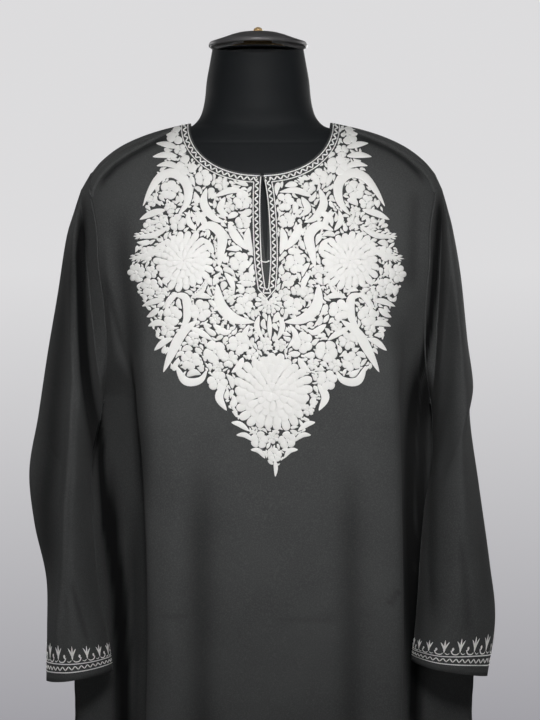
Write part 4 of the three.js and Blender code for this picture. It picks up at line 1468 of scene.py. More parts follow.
@dataclass
class Chart:
    """Yoke chart in cells of half a millimetre: what lies inside the yoke's outline, and what is sewn."""

    low: Point = (-152.0, 955.0)
    high: Point = (186.0, 1368.0)
    cell: float = 0.5
    sample: float = 0.4
    border_share: float = 0.12
    inside: np.ndarray = field(init=False)
    sewn: np.ndarray = field(init=False)
    kept_bare: np.ndarray = field(init=False)

    def __post_init__(self) -> None:
        """Starts with nothing inside and nothing sewn."""
        shape = tuple(int((b - a) / self.cell) for a, b in zip(self.low, self.high))
        self.inside, self.sewn, self.kept_bare = (np.zeros(shape, bool) for _ in range(3))

    def outline(self, corners: np.ndarray, keep: bool) -> None:
        """Marks the cells inside a closed outline.

        Args:
            corners: Its corners, mm.
            keep: Whether those cells become part of the yoke or leave it.
        """
        x = self.low[0] + self.cell * (np.arange(self.inside.shape[0]) + 0.5)[:, None]
        z = self.low[1] + self.cell * (np.arange(self.inside.shape[1]) + 0.5)[None, :]
        odd = np.zeros(self.inside.shape, bool)
        for (ax, az), (bx, bz) in zip(corners, np.roll(corners, -1, 0)):
            if az != bz:
                crosses = (z > min(az, bz)) & (z <= max(az, bz))
                odd ^= crosses & (x < ax + (z - az) * (bx - ax) / (bz - az))
        if keep:
            self.inside |= odd
        else:
            self.inside &= ~odd
            self.kept_bare |= odd

    def free(self) -> np.ndarray:
        """Cells inside the yoke that aren't sewn yet."""
        return np.argwhere(self.inside & ~self.sewn)

    def place(self, cell: np.ndarray) -> np.ndarray:
        """Place of a cell's middle, mm."""
        return np.array(self.low) + self.cell * (cell + 0.5)

    def cells(self, stroke: Stroke, grow: float = 0.0) -> tuple[np.ndarray, np.ndarray]:
        """Cells that a stroke covers.

        Args:
            stroke: The stroke.
            grow: Added to its width on each side, mm.

        Returns:
            Cell numbers across and up.
        """
        sides = sides_of(stroke.line)
        length = np.linalg.norm(np.diff(stroke.line, axis=0), axis=1).sum()
        fine = np.linspace(0, len(stroke.line) - 1, int(length / self.sample) + 2)
        at = np.arange(len(stroke.line))
        half = np.interp(fine, at, stroke.widths) / 2 + grow
        shares = np.linspace(-1, 1, int(2 * half.max() / self.sample) + 2)
        numbers = []
        for k in range(2):
            line = np.interp(fine, at, stroke.line[:, k])
            side = np.interp(fine, at, sides[:, k])
            places = (line[:, None] + (half * side)[:, None] * shares).ravel()
            numbers.append(((places - self.low[k]) / self.cell).astype(int))
        i, j = numbers
        held = (i >= 0) & (j >= 0) & (i < self.inside.shape[0]) & (j < self.inside.shape[1])
        return i[held], j[held]

    def sew(self, strokes: Sequence[Stroke]) -> None:
        """Marks the cells of strokes as sewn."""
        for stroke in strokes:
            self.sewn[self.cells(stroke)] = True

    def fits(self, stroke: Stroke, gap: float, overlap: float, within: float) -> bool:
        """Whether a stroke may be sewn.

        Args:
            stroke: The stroke.
            gap: Cloth left round it, mm.
            overlap: Share of it that may lie on what is sewn.
            within: Share of it that has to lie inside the yoke.

        Returns:
            True where it fits.
        """
        cells = self.cells(stroke, gap)
        if len(cells[0]) == 0 or self.inside[cells].mean() < within:
            return False
        return self.sewn[cells].mean() <= overlap

    def clear_of_border(self, strokes: Sequence[Stroke]) -> list[Stroke]:
        """Strokes that leave the border of the neckline and the slit free."""
        return [s for s in strokes if self.kept_bare[self.cells(s)].mean() < self.border_share]


def sew_piece(name: str, strokes: Sequence[Stroke], ground: Ground, across: int = 5) -> None:
    """Makes one closed relief piece of many strokes, laid on the cloth.

    Args:
        name: Name of the piece.
        strokes: Its strokes.
        ground: The cloth.
        across: Points over the crown of a stroke.
    """
    shares = np.sin(np.linspace(-math.pi / 2, math.pi / 2, across))
    crown = np.sqrt(np.maximum(1 - shares**2, 0)) * 0.85 + 0.15 * (1 - np.abs(shares))
    places, lifts, uvs, tones, faces = [], [], [], [], []
    start = 0
    for stroke in strokes:
        half = stroke.widths[:, None] / 2 * shares[None, :]
        spread = stroke.line[:, None] + sides_of(stroke.line)[:, None] * half[..., None]
        places.append(spread.reshape(-1, 2))
        full = np.minimum(stroke.widths / (0.55 * stroke.widths.max()), 1)[:, None]
        lifts.append((stroke.lift * full - SINK + (stroke.rise + 0.1) * crown[None, :] * full).ravel())
        along = np.broadcast_to(lengths_along(stroke.line)[:, None], half.shape)
        uvs.append(np.stack([along, half], -1).reshape(-1, 2))
        tones.append(np.full(half.size, stroke.tone))
        faces += tube_faces(len(half), across, start)
        start += half.size
    points = ground.lay(np.concatenate(places), np.concatenate(lifts))
    piece = mesh_piece(name, points, faces, np.concatenate(uvs) * MM)
    mark_points(piece, "tone", np.concatenate(tones))
    clean_mesh(piece)
    dress(piece, "embroidery_thread")


class Flower(Enum):
    """Kinds of flower on the yoke; the layered ones with their rings of tips, feet and number of petals."""

    BLOSSOM = "round petals"
    BUD = "two lobes"
    ROSETTE = ((1, 0.4, 14), (0.62, 0.15, 9), (0.34, 0.0, 6))
    STAR = ((1, 0.42, 22), (0.82, 0.3, 19), (0.6, 0.15, 15), (0.36, 0.0, 9))
    PEONY = ((1, 0.5, 25), (0.86, 0.36, 22), (0.68, 0.22, 18), (0.48, 0.1, 13), (0.26, 0.0, 7))


@dataclass(frozen=True)
class Sprig:
    """A flower on the yoke: distance from the middle line, height and radius in mm, and turn in degrees."""

    aside: float
    z: float
    radius: float
    petals: int = 6
    turn: float = 90
    kind: Flower = Flower.BLOSSOM

    def strokes(self, centre: Point, hand: int) -> list[Stroke]:
        """Strokes of the flower.

        Args:
            centre: Its place, mm.
            hand: 1 on the right of the middle and -1 on the left.

        Returns:
            The strokes.
        """
        turn = math.radians(self.turn if hand > 0 else 180 - self.turn)
        if self.kind is Flower.BLOSSOM:
            return blossom(centre, 1.1 * self.radius, self.petals, turn)
        if self.kind is Flower.BUD:
            return heart_bud(centre, self.radius, turn)
        return layered_flower(centre, self.radius, turn, self.kind.value)


PAIRED_FLOWERS = (
    Sprig(97, 1346, 11.5, 6, 80),
    Sprig(84, 1308, 11, 5, 70),
    Sprig(103, 1279, 10, 5, 30),
    Sprig(64, 1294, 9, 5, 100),
    Sprig(24, 1267, 9.5, 6, 60),
    Sprig(25, 1245, 8, 5, 90),
    Sprig(92, 1201, 33, turn=84, kind=Flower.STAR),
    Sprig(30, 1199, 10.5, 6, 75),
    Sprig(22, 1179, 7.5, 5, 20),
    Sprig(144, 1188, 9.5, 7, 0),
    Sprig(131, 1209, 8, 5, 40),
    Sprig(130, 1172, 9.5, 6, 10),
    Sprig(60, 1172, 11, kind=Flower.BUD),
    Sprig(27, 1152, 9.5, 6, 50),
    Sprig(76, 1146, 11, 6, 80),
    Sprig(107, 1140, 10, 5, 30),
    Sprig(34, 1111, 11, 6, 90),
    Sprig(60, 1101, 11.5, 5, 60),
    Sprig(87, 1091, 10, 6, 20),
    Sprig(60, 1070, 10.5, 6, 70),
    Sprig(15, 1005, 9, 5, 100),
)
MIDDLE_FLOWERS = (
    Sprig(0, 1156, 14.5, kind=Flower.ROSETTE),
    Sprig(0, 1057, 43, kind=Flower.PEONY),
    Sprig(0, 988, 7.5, 5, 90),
)
PAIRED_LEAVES = (
    (12, ((96, 1250), (84, 1267), (84, 1287), (97, 1299), (112, 1296), (124, 1281), (135, 1260))),
    (8, ((94, 1329), (108, 1334), (120, 1336))),
    (8, ((94, 1319), (109, 1321), (123, 1319))),
    (7.5, ((90, 1304), (104, 1310), (118, 1308))),
    (8, ((108, 1258), (124, 1254), (139, 1247))),
    (12, ((76, 1234), (60, 1240), (48, 1229), (50, 1210), (53, 1190))),
    (10.5, ((40, 1243), (33, 1228), (20, 1212))),
    (9, ((18, 1238), (20, 1224), (15, 1207))),
    (8.5, ((56, 1282), (36, 1291), (15, 1290))),
    (7.5, ((54, 1272), (36, 1279), (17, 1277))),
    (10, ((62, 1282), (66, 1264), (55, 1248), (42, 1243))),
    (8.5, ((42, 1272), (48, 1258), (38, 1249))),
    (13, ((56, 1176), (52, 1151), (37, 1137), (14, 1133))),
    (11.5, ((78, 1136), (96, 1121), (108, 1100), (119, 1077))),
    (9.5, ((104, 1086), (94, 1069), (78, 1070), (69, 1083))),
    (9.5, ((50, 1066), (58, 1052), (50, 1036))),
    (10.5, ((105, 1164), (91, 1160), (90, 1138), (99, 1123))),
    (7, ((114, 1158), (127, 1156), (140, 1151))),
    (7.5, ((112, 1130), (122, 1133), (134, 1129))),
    (7.5, ((106, 1116), (116, 1112), (128, 1102))),
    (7, ((62, 1160), (75, 1163), (86, 1160))),
    (6.5, ((11, 1141), (14, 1128), (7, 1113))),
    (6.5, ((46, 1024), (37, 1022), (26, 1014))),
    (6, ((41, 1010), (31, 1010), (21, 1002))),
    (6, ((26, 994), (17, 993), (10, 984))),
    (8, ((76, 1338), (68, 1322), (70, 1305))),
    (7, ((46, 1313), (52, 1304), (49, 1293))),
    (7, ((120, 1149), (129, 1142), (135, 1139))),
    (7, ((22, 1131), (28, 1118), (18, 1104))),
    (8, ((62, 1131), (48, 1122), (40, 1126))),
    (7.5, ((88, 1128), (74, 1121), (62, 1113))),
    (8, ((30, 1095), (36, 1084), (44, 1078))),
    (7, ((76, 1234), (84, 1246), (82, 1258))),
    (8, ((60, 1256), (72, 1248), (74, 1238))),
    (7, ((47, 1188), (40, 1178), (37, 1165))),
    (8, ((58, 1208), (64, 1220), (70, 1226))),
)
PAIRED_FEATHERS = (
    (11, (104, 1240), (147, 1229), -0.12),
    (11, (110, 1224), (153, 1204), -0.14),
    (9, (100, 1166), (114, 1147), 0.1),
    (9, (64, 1236), (76, 1256), 0.12),
    (8, (112, 1212), (146, 1200), 0.1),
    (8, (84, 1160), (66, 1180), 0.15),
)
MIDDLE_LEAVES = (
    (5, ((0, 984), (1, 974), (0, 964))),
    (5.5, ((0, 1142), (0, 1128), (0, 1112))),
)
YOKE_OUTLINE = (
    (70, 1362), (104, 1358), (107, 1342), (112, 1325), (110, 1309), (119, 1298), (130, 1268), (134, 1246),
    (141, 1229), (147, 1206), (152, 1189), (145, 1168), (136, 1150), (128, 1127), (119, 1100), (110, 1082),
    (98, 1074), (84, 1070), (70, 1066), (58, 1056), (48, 1042), (41, 1028), (37, 1014), (26, 1002),
    (16, 990), (5, 978), (0, 968),
)


@dataclass(frozen=True)
class FillingPass:
    """One pass of the filling, with its ranges of length and width, its gap and its rise in mm."""

    tries: int
    lengths: tuple[float, float]
    widths: tuple[float, float]
    gap: float
    overlap: float
    within: float
    rise: float

    def stroke(self, place: np.ndarray, flow: float, chance: np.random.Generator) -> Stroke:
        """A leaf or stitch round a place, lying along the flow within a margin.

        Args:
            place: Its middle, mm.
            flow: Direction of the flow, radians.
            chance: Source of its random turn, size, kind and bend.

        Returns:
            The stroke.
        """
        angle = flow + chance.uniform(-0.9, 0.9) + chance.choice((0, math.pi))
        length, width = chance.uniform(*self.lengths), chance.uniform(*self.widths)
        foot = place - 0.5 * length * np.array([math.cos(angle), math.sin(angle)])
        blade = (Blade.LEAF, Blade.DROP, Blade.CLAW)[chance.integers(3)]
        return bent_blade(foot, angle, length, width, chance.uniform(-0.22, 0.22), blade, self.rise)


@dataclass
class YokeEmbroidery:
    """White embroidery of the yoke: flowers, leaves, a dense filling and the border of neck and slit."""

    neckline: Neckline
    ground: Ground
    seed: int = 11
    middle: Plan = Plan(("z", "x"), ((1300, 5), (1172, 11.6), (1048, 16.4), (966, 19.5)))
    edge: float = 2.6
    middle_line: float = 6.2
    band: float = 9.8
    blossom_tries: int = 2600
    passes: tuple[FillingPass, ...] = (
        FillingPass(1300, (12, 19), (6.4, 9), 0.35, 0.1, 0.9, 0.6),
        FillingPass(1500, (9, 13), (5, 6.6), 0.25, 0.15, 0.88, 0.55),
        FillingPass(1500, (7, 10), (3.8, 5), 0.0, 0.32, 0.86, 0.5),
        FillingPass(1500, (5, 7.5), (2.8, 3.6), 0.0, 0.46, 0.84, 0.45),
    )

    def spot(self, aside: float, z: float, hand: int) -> Point:
        """Place on the cloth of a place on the chart."""
        return float(self.middle.read("x", z)) + hand * aside, z

    def motifs(self) -> tuple[list[Stroke], list[Stroke]]:
        """Flowers and leaves that are placed one by one.

        Returns:
            Strokes of the flowers, and strokes of the leaves.
        """
        chance = np.random.default_rng(self.seed)
        flowers, leaves = [], []

        def add_leaves(rows: Sequence[tuple[float, tuple[Point, ...]]], hand: int) -> None:
            """Adds the plain leaves of one side."""
            for width, line in rows:
                leaves.extend(self.toned([sweep([self.spot(a, z, hand) for a, z in line], width)], chance))

        for hand in (-1, 1):
            for sprig in PAIRED_FLOWERS:
                shift = chance.uniform(-1.2, 1.2, 2)
                centre = self.spot(sprig.aside + shift[0], sprig.z + shift[1], hand)
                flowers += self.toned(sprig.strokes(centre, hand), chance)
            add_leaves(PAIRED_LEAVES, hand)
            for width, foot, tip, bow in PAIRED_FEATHERS:
                ends = self.spot(*foot, hand), self.spot(*tip, hand)
                leaves += self.toned(feather(*ends, width, hand * bow), chance)
        for sprig in MIDDLE_FLOWERS:
            flowers += self.toned(sprig.strokes(self.spot(0, sprig.z, 1), 1), chance)
        add_leaves(MIDDLE_LEAVES, 1)
        return flowers, leaves

    def toned(self, strokes: list[Stroke], chance: np.random.Generator) -> list[Stroke]:
        """Gives the strokes of one motif a tone of their own.

        Args:
            strokes: The motif's strokes.
            chance: Source of the random tones.

        Returns:
            The same strokes.
        """
        tone = chance.uniform(0, 0.5)
        for stroke in strokes:
            stroke.tone = float(np.clip(tone + chance.uniform(-0.1, 0.15), 0, 1))
        return strokes

    def chart(self) -> Chart:
        """Chart of the yoke, without the band along the neckline and the slit.

        Returns:
            The chart, with nothing sewn.
        """
        chart = Chart()
        left, right = ([self.spot(a, z, hand) for a, z in YOKE_OUTLINE] for hand in (-1, 1))
        chart.outline(np.array(left + right[::-1]), True)
        edge = [self.neckline.border(side, self.band + 1) for side in Side]
        chart.outline(np.vstack([edge[0], edge[1][::-1], [(80, 1400), (-75, 1400)]]), False)
        return chart

    def filling(self, chart: Chart) -> list[Stroke]:
        """Fills the chart with blossoms, leaves and stitches, ever smaller, until little cloth shows.

        Args:
            chart: The chart with the placed motifs sewn.

        Returns:
            The strokes.
        """
        chance = np.random.default_rng(self.seed + 1)
        strokes = []
        free = chart.free()
        for cell in free[chance.choice(len(free), self.blossom_tries, replace=False)]:
            place = chart.place(cell)
            radius = chance.uniform(6.5, 10.5)
            arm = (0.82 * radius, 0)
            disc = sweep((place - arm, place, place + arm), 1.6 * radius, Blade.STEM)
            if chart.fits(disc, 0.0, 0.1, 0.96):
                count = int(chance.integers(5, 8))
                petals = blossom(tuple(place), radius, count, chance.uniform(0, math.tau))
                chart.sew(petals)
                strokes += self.toned(petals, chance)
        for each in self.passes:
            free = chart.free()
            for cell in free[chance.choice(len(free), min(each.tries, len(free)), replace=False)]:
                if chart.sewn[tuple(cell)]:
                    continue
                place = chart.place(cell)
                x, z = place
                flow = 1.4 * math.sin(x / 21 + 1.7 * math.sin(z / 27)) + 1.2 * math.cos(z / 17)
                for _ in range(4):
                    stroke = each.stroke(place, flow, chance)
                    if chart.fits(stroke, each.gap, each.overlap, each.within):
                        stroke.tone = float(chance.uniform(0, 0.8))
                        chart.sew([stroke])
                        strokes.append(stroke)
                        break
        return strokes

    def border(self) -> list[Stroke]:
        """Two chain-stitched lines with a zigzag between them, on both sides of the neckline and the slit.

        Returns:
            The strokes.
        """
        strokes = []
        for side in Side:
            for aside in (self.edge, self.band):
                line = even_steps(self.neckline.border(side, aside), CHAIN_STEP)
                widths = chain_widths(CHAIN_STEP * np.arange(len(line)), 1.5)
                strokes.append(Stroke(line, widths, 0.75, 0, 0.1))
            middle = even_steps(self.neckline.border(side, self.middle_line), 3.7)
            marks = middle + sides_of(middle) * (2.3 * (-1.0) ** np.arange(len(middle)))[:, None]
            strokes += [sweep(pair, 1.8, Blade.STEM, 0.7) for pair in zip(marks[:-1], marks[1:])]
        return strokes

    def build(self) -> None:
        """Sews the yoke."""
        chart = self.chart()
        flowers, leaves = (chart.clear_of_border(strokes) for strokes in self.motifs())
        chart.sew([*flowers, *leaves])
        sew_piece("yoke_flowers", flowers, self.ground, 7)
        sew_piece("yoke_leaves", leaves, self.ground, 9)
        sew_piece("yoke_filling", self.filling(chart), self.ground)
        sew_piece("neck_border", self.border(), self.ground)


@dataclass
class CuffEmbroidery:
    """Border of a cuff: two lines with a zigzag, a looping vine and three-pronged tulips, in mm."""

    side: Side
    ground: Ground
    lower: float = 9.5
    upper: float = 18.5
    pitch: float = 19.0
    tulip_height: float = 17.0
    zigzag_step: float = 3.8

    def repeat(self, x: float, half: float) -> list[Stroke]:
        """One repeat of the vine and its tulip.

        Args:
            x: Its middle, measured round the cuff, mm.
            half: Half its width, mm.

        Returns:
            The strokes.
        """
        foot, low = self.upper + 3.2, self.upper + 2.2
        loop = (x + 0.35 * half, low), (x + 0.9 * half, low + 0.6), (x + 1.2 * half, low + 5)
        tendril = ((x - 1, foot + 1), (x - 0.4 * half, low), (x - 0.7 * half, low + 1.2))
        return [
            *tulip((x, foot), self.tulip_height),
            sweep(((x + 1, foot + 1), *loop), 1.45, Blade.STEM, 0.6),
            bent_blade((x + 1.15 * half, low + 3), 1.9, 5.4, 3.2, 0.2, Blade.DROP, 0.7),
            sweep(tendril, 1.1, Blade.STEM),
        ]

    def build(self) -> None:
        """Sews the cuff all round."""
        total = float(self.ground.across[-1])
        count = max(int(round(total / self.pitch)), 6)
        pitch = total / count
        around = np.arange(0, total + 0.01, CHAIN_STEP)
        strokes = []
        for height in (self.lower, self.upper):
            line = np.stack([around, height + 0.35 * np.sin(around / 13)], -1)
            strokes.append(Stroke(line, chain_widths(around, 1.35), 0.7))
        steps = int(round(total / self.zigzag_step))
        marks = [(total * k / steps, self.lower + 2.2 + 4.4 * (k % 2)) for k in range(steps + 1)]
        strokes += [sweep(pair, 1.4, Blade.STEM, 0.6) for pair in zip(marks[:-1], marks[1:])]
        for k in range(count):
            strokes += self.repeat(pitch * (k + 0.5), pitch / 2)
        sew_piece(f"cuff_embroidery_{self.side.name.lower()}", strokes, self.ground)


def slim_cord(name: str, line: np.ndarray, radius: float, step: float = 3.0) -> bpy.types.Object:
    """Slim cord along a line: the roll of a seam, a thread or a wire.

    Args:
        name: Name of the piece.
        line: Points of its middle in mm, with a last axis of 3.
        radius: Its radius, mm.
        step: Distance between its rings, mm.

    Returns:
        The piece.
    """
    line = even_steps(line, step)
    run = np.gradient(line, axis=0)
    run /= np.linalg.norm(run, axis=1, keepdims=True)
    side = np.cross(run, (0, 1, 0))
    side /= np.maximum(np.linalg.norm(side, axis=1, keepdims=True), 1e-6)
    up = np.cross(side, run)
    angle = np.linspace(0, math.tau, 10, endpoint=False)
    uneven = radius * (1 + 0.12 * np.sin(np.arange(len(line)) * 0.9))
    uneven[[0, -1]] *= 0.4
    ring = np.cos(angle)[None, :, None] * side[:, None] + np.sin(angle)[None, :, None] * up[:, None]
    points = line[:, None] + uneven[:, None, None] * ring
    uvs = np.stack(np.broadcast_arrays(step * np.arange(len(line))[:, None], radius * angle[None, :]), -1)
    faces = tube_faces(len(line), len(angle))
    piece = mesh_piece(name, points.reshape(-1, 3) * MM, faces, uvs.reshape(-1, 2) * MM)
    clean_mesh(piece)
    return piece


SHOULDER_SEAMS = {
    Side.LEFT: (
        (-98, 1351), (-120, 1339), (-142, 1327), (-162, 1314), (-176, 1301), (-184, 1288), (-187, 1274),
    ),
    Side.RIGHT: ((108, 1351), (128, 1343), (150, 1333), (168, 1322), (184, 1308), (195, 1294), (199, 1280)),
}


@dataclass
class Seams:
    """Rolled seams of the tunic: over the shoulders, round the armholes and down the sides."""

    shape: TunicShape
    ground: Ground
    radii: tuple[float, float, float] = (2.4, 0.9, 0.8)

    def build(self) -> None:
        """Builds the rolls."""
        shoulder, armhole, down = self.radii
        drops = np.linspace(UNDERARM_DROP + 4, BODY_DROP - 1, 90)
        for side in Side:
            name = side.name.lower()
            line = even_steps(np.array(SHOULDER_SEAMS[side], float), 3.0)
            ring = self.shape.armhole(side)
            for seam, path, radius in (
                ("shoulder_seam", self.ground.lay(line, np.full(len(line), 0.6)) / MM, shoulder),
                ("armhole_seam", ring[3:ARMHOLE_POINTS], armhole),
                ("armhole_seam_back", ring[ARMHOLE_POINTS - 1 : -5], armhole),
                ("side_seam", self.shape.edge(Panel.FRONT, side, drops), down),
            ):
                dress(slim_cord(f"{seam}_{name}", path, radius), "wool_cloth")


@dataclass
class NeckClosure:
    """Hook at the top of the slit, with its threads, and the thread bar that ends the slit, in mm."""

    ground: Ground
    hook: tuple[Point, ...] = (
        (-0.6, 1291), (0.2, 1293.8), (3, 1294.8), (6, 1294.4), (8, 1292.6), (8, 1290.6), (6.2, 1290.2),
    )
    left_thread: tuple[Point, ...] = ((-2.4, 1289), (0.2, 1291.6), (-1.8, 1294))
    right_thread: tuple[Point, ...] = ((10, 1288.6), (7.6, 1291.4), (9.6, 1294))
    bar: tuple[Point, ...] = ((3.2, 1201), (6.0, 1199.4), (9.6, 1199), (13.4, 1200.6))

    def cord(self, name: str, places: Sequence[Point], lift: float, radius: float) -> bpy.types.Object:
        """Builds one thread or wire over the cloth."""
        line = even_steps(np.array(places, float), 0.8)
        return slim_cord(name, self.ground.lay(line, np.full(len(line), lift)) / MM, radius, 0.7)

    def build(self) -> None:
        """Builds the wire hook, the sewing that holds it and the thread bar."""
        dress(self.cord("hook_wire", self.hook, 1.5, 0.6), "cap_metal", "neck_hook")
        for name, places in (
            ("hook_thread_left", self.left_thread),
            ("hook_thread_right", self.right_thread),
            ("slit_bar", self.bar),
        ):
            dress(self.cord(name, places, 1.1, 0.75), "embroidery_thread")


FORM = Plan(
    ("z", "half", "front", "back"),
    (
        (930, 118, 86, 74),
        (938, 121, 89, 77),
        (970, 118, 88, 77),
        (1010, 120, 92, 80),
        (1060, 130, 102, 87),
        (1110, 140, 113, 92),
        (1155, 148, 117, 96),
        (1200, 154, 111, 97),
        (1240, 162, 103, 94),
        (1270, 176, 94, 88),
        (1288, 186, 87, 80),
        (1301, 187, 82, 74),
        (1310, 182, 78, 69),
        (1319, 173, 73, 64),
        (1331, 153, 66, 58),
        (1344, 126, 59, 52),
        (1353, 99, 54, 48),
        (1359, 79, 52, 47),
        (1366, 70, 52, 48),
        (1376, 64.5, 53, 50),
        (1392, 61, 53, 51),
        (1412, 59, 53, 52),
        (1432, 55.5, 51, 50),
        (1449, 52.5, 49, 48),
    ),
)


@dataclass(frozen=True)
class TurnedPart:
    """Part turned about the upright axis: its slot, the solid that it stands for and its profile in mm."""

    name: str
    slot: str
    node: str | None
    profile: tuple[Point, ...]
    ring: bool = False
    sides: int = 96

    def build(self) -> None:
        """Raises the part: a circle is added and extruded from one radius and height to the next."""
        radius, z = self.profile[0]
        bpy.ops.object.select_all(action="DESELECT")
        bpy.ops.mesh.primitive_circle_add(
            vertices=self.sides,
            radius=radius * MM,
            fill_type="NOTHING" if self.ring else "NGON",
            location=(0, 0, z * MM),
        )
        piece = bpy.context.object
        piece.name = self.name
        bpy.ops.object.transform_apply(location=True, rotation=True, scale=True)
        bpy.ops.object.mode_set(mode="EDIT")
        bpy.ops.mesh.select_all(action="SELECT")
        steps = self.profile[1:] + (self.profile[:1] if self.ring else ())
        for next_radius, next_z in steps:
            bpy.ops.mesh.extrude_region_move(TRANSFORM_OT_translate={"value": (0, 0, (next_z - z) * MM)})
            if next_radius != radius:
                ratio = next_radius / radius
                bpy.ops.transform.resize(value=(ratio, ratio, 1), center_override=(0, 0, next_z * MM))
            radius, z = next_radius, next_z
        bpy.ops.object.mode_set(mode="OBJECT")
        clean_mesh(piece, merge=True)
        bpy.ops.object.shade_smooth_by_angle(angle=math.radians(32))
        dress(piece, self.slot, self.node)


CAP_PROFILE = (
    (54.6, 1451.6), (55.6, 1451.4), (56.6, 1452.4), (56.7, 1454.6), (55.6, 1456.2), (50, 1458.2),
    (46, 1459.6), (39, 1462.2), (33, 1464.6), (25, 1467), (19, 1468), (19, 1466), (25, 1465), (33, 1462.4),
    (46, 1457.2), (52.8, 1454.9), (54.3, 1453.6),
)
POST_PROFILE = (
    (30, 1446.4), (31, 1447), (31, 1452.4), (30.4, 1453), (17, 1453.2), (16.4, 1454), (16, 1462.4),
    (18.6, 1465.7),
)
SEAT_PROFILE = ((49, 1446.6), (49.4, 1446.9), (49.2, 1447.6), (48, 1448), (32, 1448.2), (32, 1446.6))
KNOB_PROFILE = (
    (9, 1468.1), (9.3, 1468.4), (8.8, 1468.8), (5.2, 1469.1), (4.7, 1469.7), (5.2, 1470.5), (5.3, 1471.5),
    (4.7, 1472.6), (3.9, 1473.5), (2.4, 1474.4), (0.8, 1474.8),
)
BASE_PROFILE = (
    (172, 0), (174.4, 0.4), (175, 1.2), (175, 8.6), (174.3, 10.2), (172.6, 11.5), (170.5, 12), (44, 12),
)
COLLAR_PROFILE = (
    (15.3, 12.3), (32, 12.3), (32, 16), (31.4, 16.3), (26, 19), (24.4, 20.8), (24, 22.6), (24, 44.6),
    (22.8, 46.2), (15.3, 46.3),
)
POLE_PROFILE = ((15, 12.3), (15, 560), (14.6, 560.4), (14.6, 921.4))
FLANGE_PROFILE = ((36, 921.7), (37.5, 922.4), (42, 925.2), (42.4, 926), (42.4, 929), (42, 929.7))


@dataclass
class DressForm:
    """Limbless body with a jersey cover, its neck cap and its finial."""

    sides: int = 128
    seam_z: float = 1341
    seam_sag: float = 5
    seam_half: float = 1.1
    seam_depth: float = 0.9
    neck_dip: float = 10
    cap: tuple[TurnedPart, ...] = (
        TurnedPart("neck_cap", "cap_metal", "form_neck_cap", CAP_PROFILE, ring=True),
        TurnedPart("cap_collar", "brass", "form_cap_post", POST_PROFILE),
        TurnedPart("cap_seat", "form_cover", None, SEAT_PROFILE, ring=True),
        TurnedPart("cap_finial", "brass", "form_cap_knob", KNOB_PROFILE),
    )

    def body(self) -> None:
        """Lofts the body with the neck seam of its cover, closed at the bottom and under the cap."""
        foot, top = FORM.rows[0][0], FORM.rows[-1][0]
        levels = np.concatenate(
            [[foot, 931.5, 934], np.arange(foot, 1322, 7.0)[1:], np.arange(1322, top, 1.6), [top]]
        )
        angle = np.linspace(0, math.tau, self.sides, endpoint=False)[None, :]
        z = levels[:, None] * np.ones_like(angle)
        front = np.maximum(-np.sin(angle), 0)
        depth = np.where(np.sin(angle) < 0, FORM.read("front", z), FORM.read("back", z))
        line = self.seam_z - self.seam_sag * front**2
        groove = self.seam_depth * np.exp(-(((z - line) / self.seam_half) ** 2))
        x = (FORM.read("half", z) - groove) * np.cos(angle)
        y = (depth - groove) * np.sin(angle)
        dip = self.neck_dip * front**1.5 * soft_step((z - 1425) / 24)
        rings = np.stack([x, y, z - dip], -1)
        under = rings[0] * (0.97, 0.97, 1)
        ends = [rings[-1] * (0.96, 0.96, 1) + (0, 0, 0.3), rings[-1] * (0.7, 0.7, 1)]
        ends[1][:, 2] = 1446
        rings = np.concatenate([under[None], rings, np.array(ends)])
        uvs = np.stack([steps_along(rings, 1), steps_along(rings, 0)], -1).reshape(-1, 2) * MM
        faces = tube_faces(len(rings), self.sides)
        piece = mesh_piece("form_torso", rings.reshape(-1, 3) * MM, faces, uvs)
        dress(piece, "form_cover", "form_body")

    def build(self) -> None:
        """Builds the body, the cap, its post, its seat and the finial."""
        self.body()
        for part in self.cap:
            part.build()


@dataclass
class PoleStand:
    """Round base, collar, pole and the flange under the form."""

    parts: tuple[TurnedPart, ...] = (
        TurnedPart("base_plate", "stand_paint", "stand_base", BASE_PROFILE),
        TurnedPart("pole_collar", "stand_paint", "stand_collar", COLLAR_PROFILE, ring=True),
        TurnedPart("pole", "stand_paint", "stand_pole", POLE_PROFILE),
        TurnedPart("form_plate", "stand_paint", "form_flange", FLANGE_PROFILE),
    )

    def build(self) -> None:
        """Builds the four turned parts."""
        for part in self.parts:
            part.build()


@dataclass(frozen=True)
class Lamp:
    """Square soft light: place, height that it looks at and size in metres, watts, and fan in degrees."""

    name: str
    place: tuple[float, float, float]
    aim_z: float
    size: float
    power: float
    fan: float = 180

    def hang(self) -> None:
        """Adds the light, turned towards the stand's axis."""
        light = bpy.data.lights.new(self.name, "AREA")
        light.spread = math.radians(self.fan)
        light.shape = "SQUARE"
        light.size = self.size
        light.energy = self.power
        lamp = bpy.data.objects.new(self.name, light)
        lamp.location = self.place
        look = Vector((0, 0, self.aim_z)) - Vector(self.place)
        lamp.rotation_euler = look.to_track_quat("-Z", "Y").to_euler()
        bpy.context.scene.collection.objects.link(lamp)


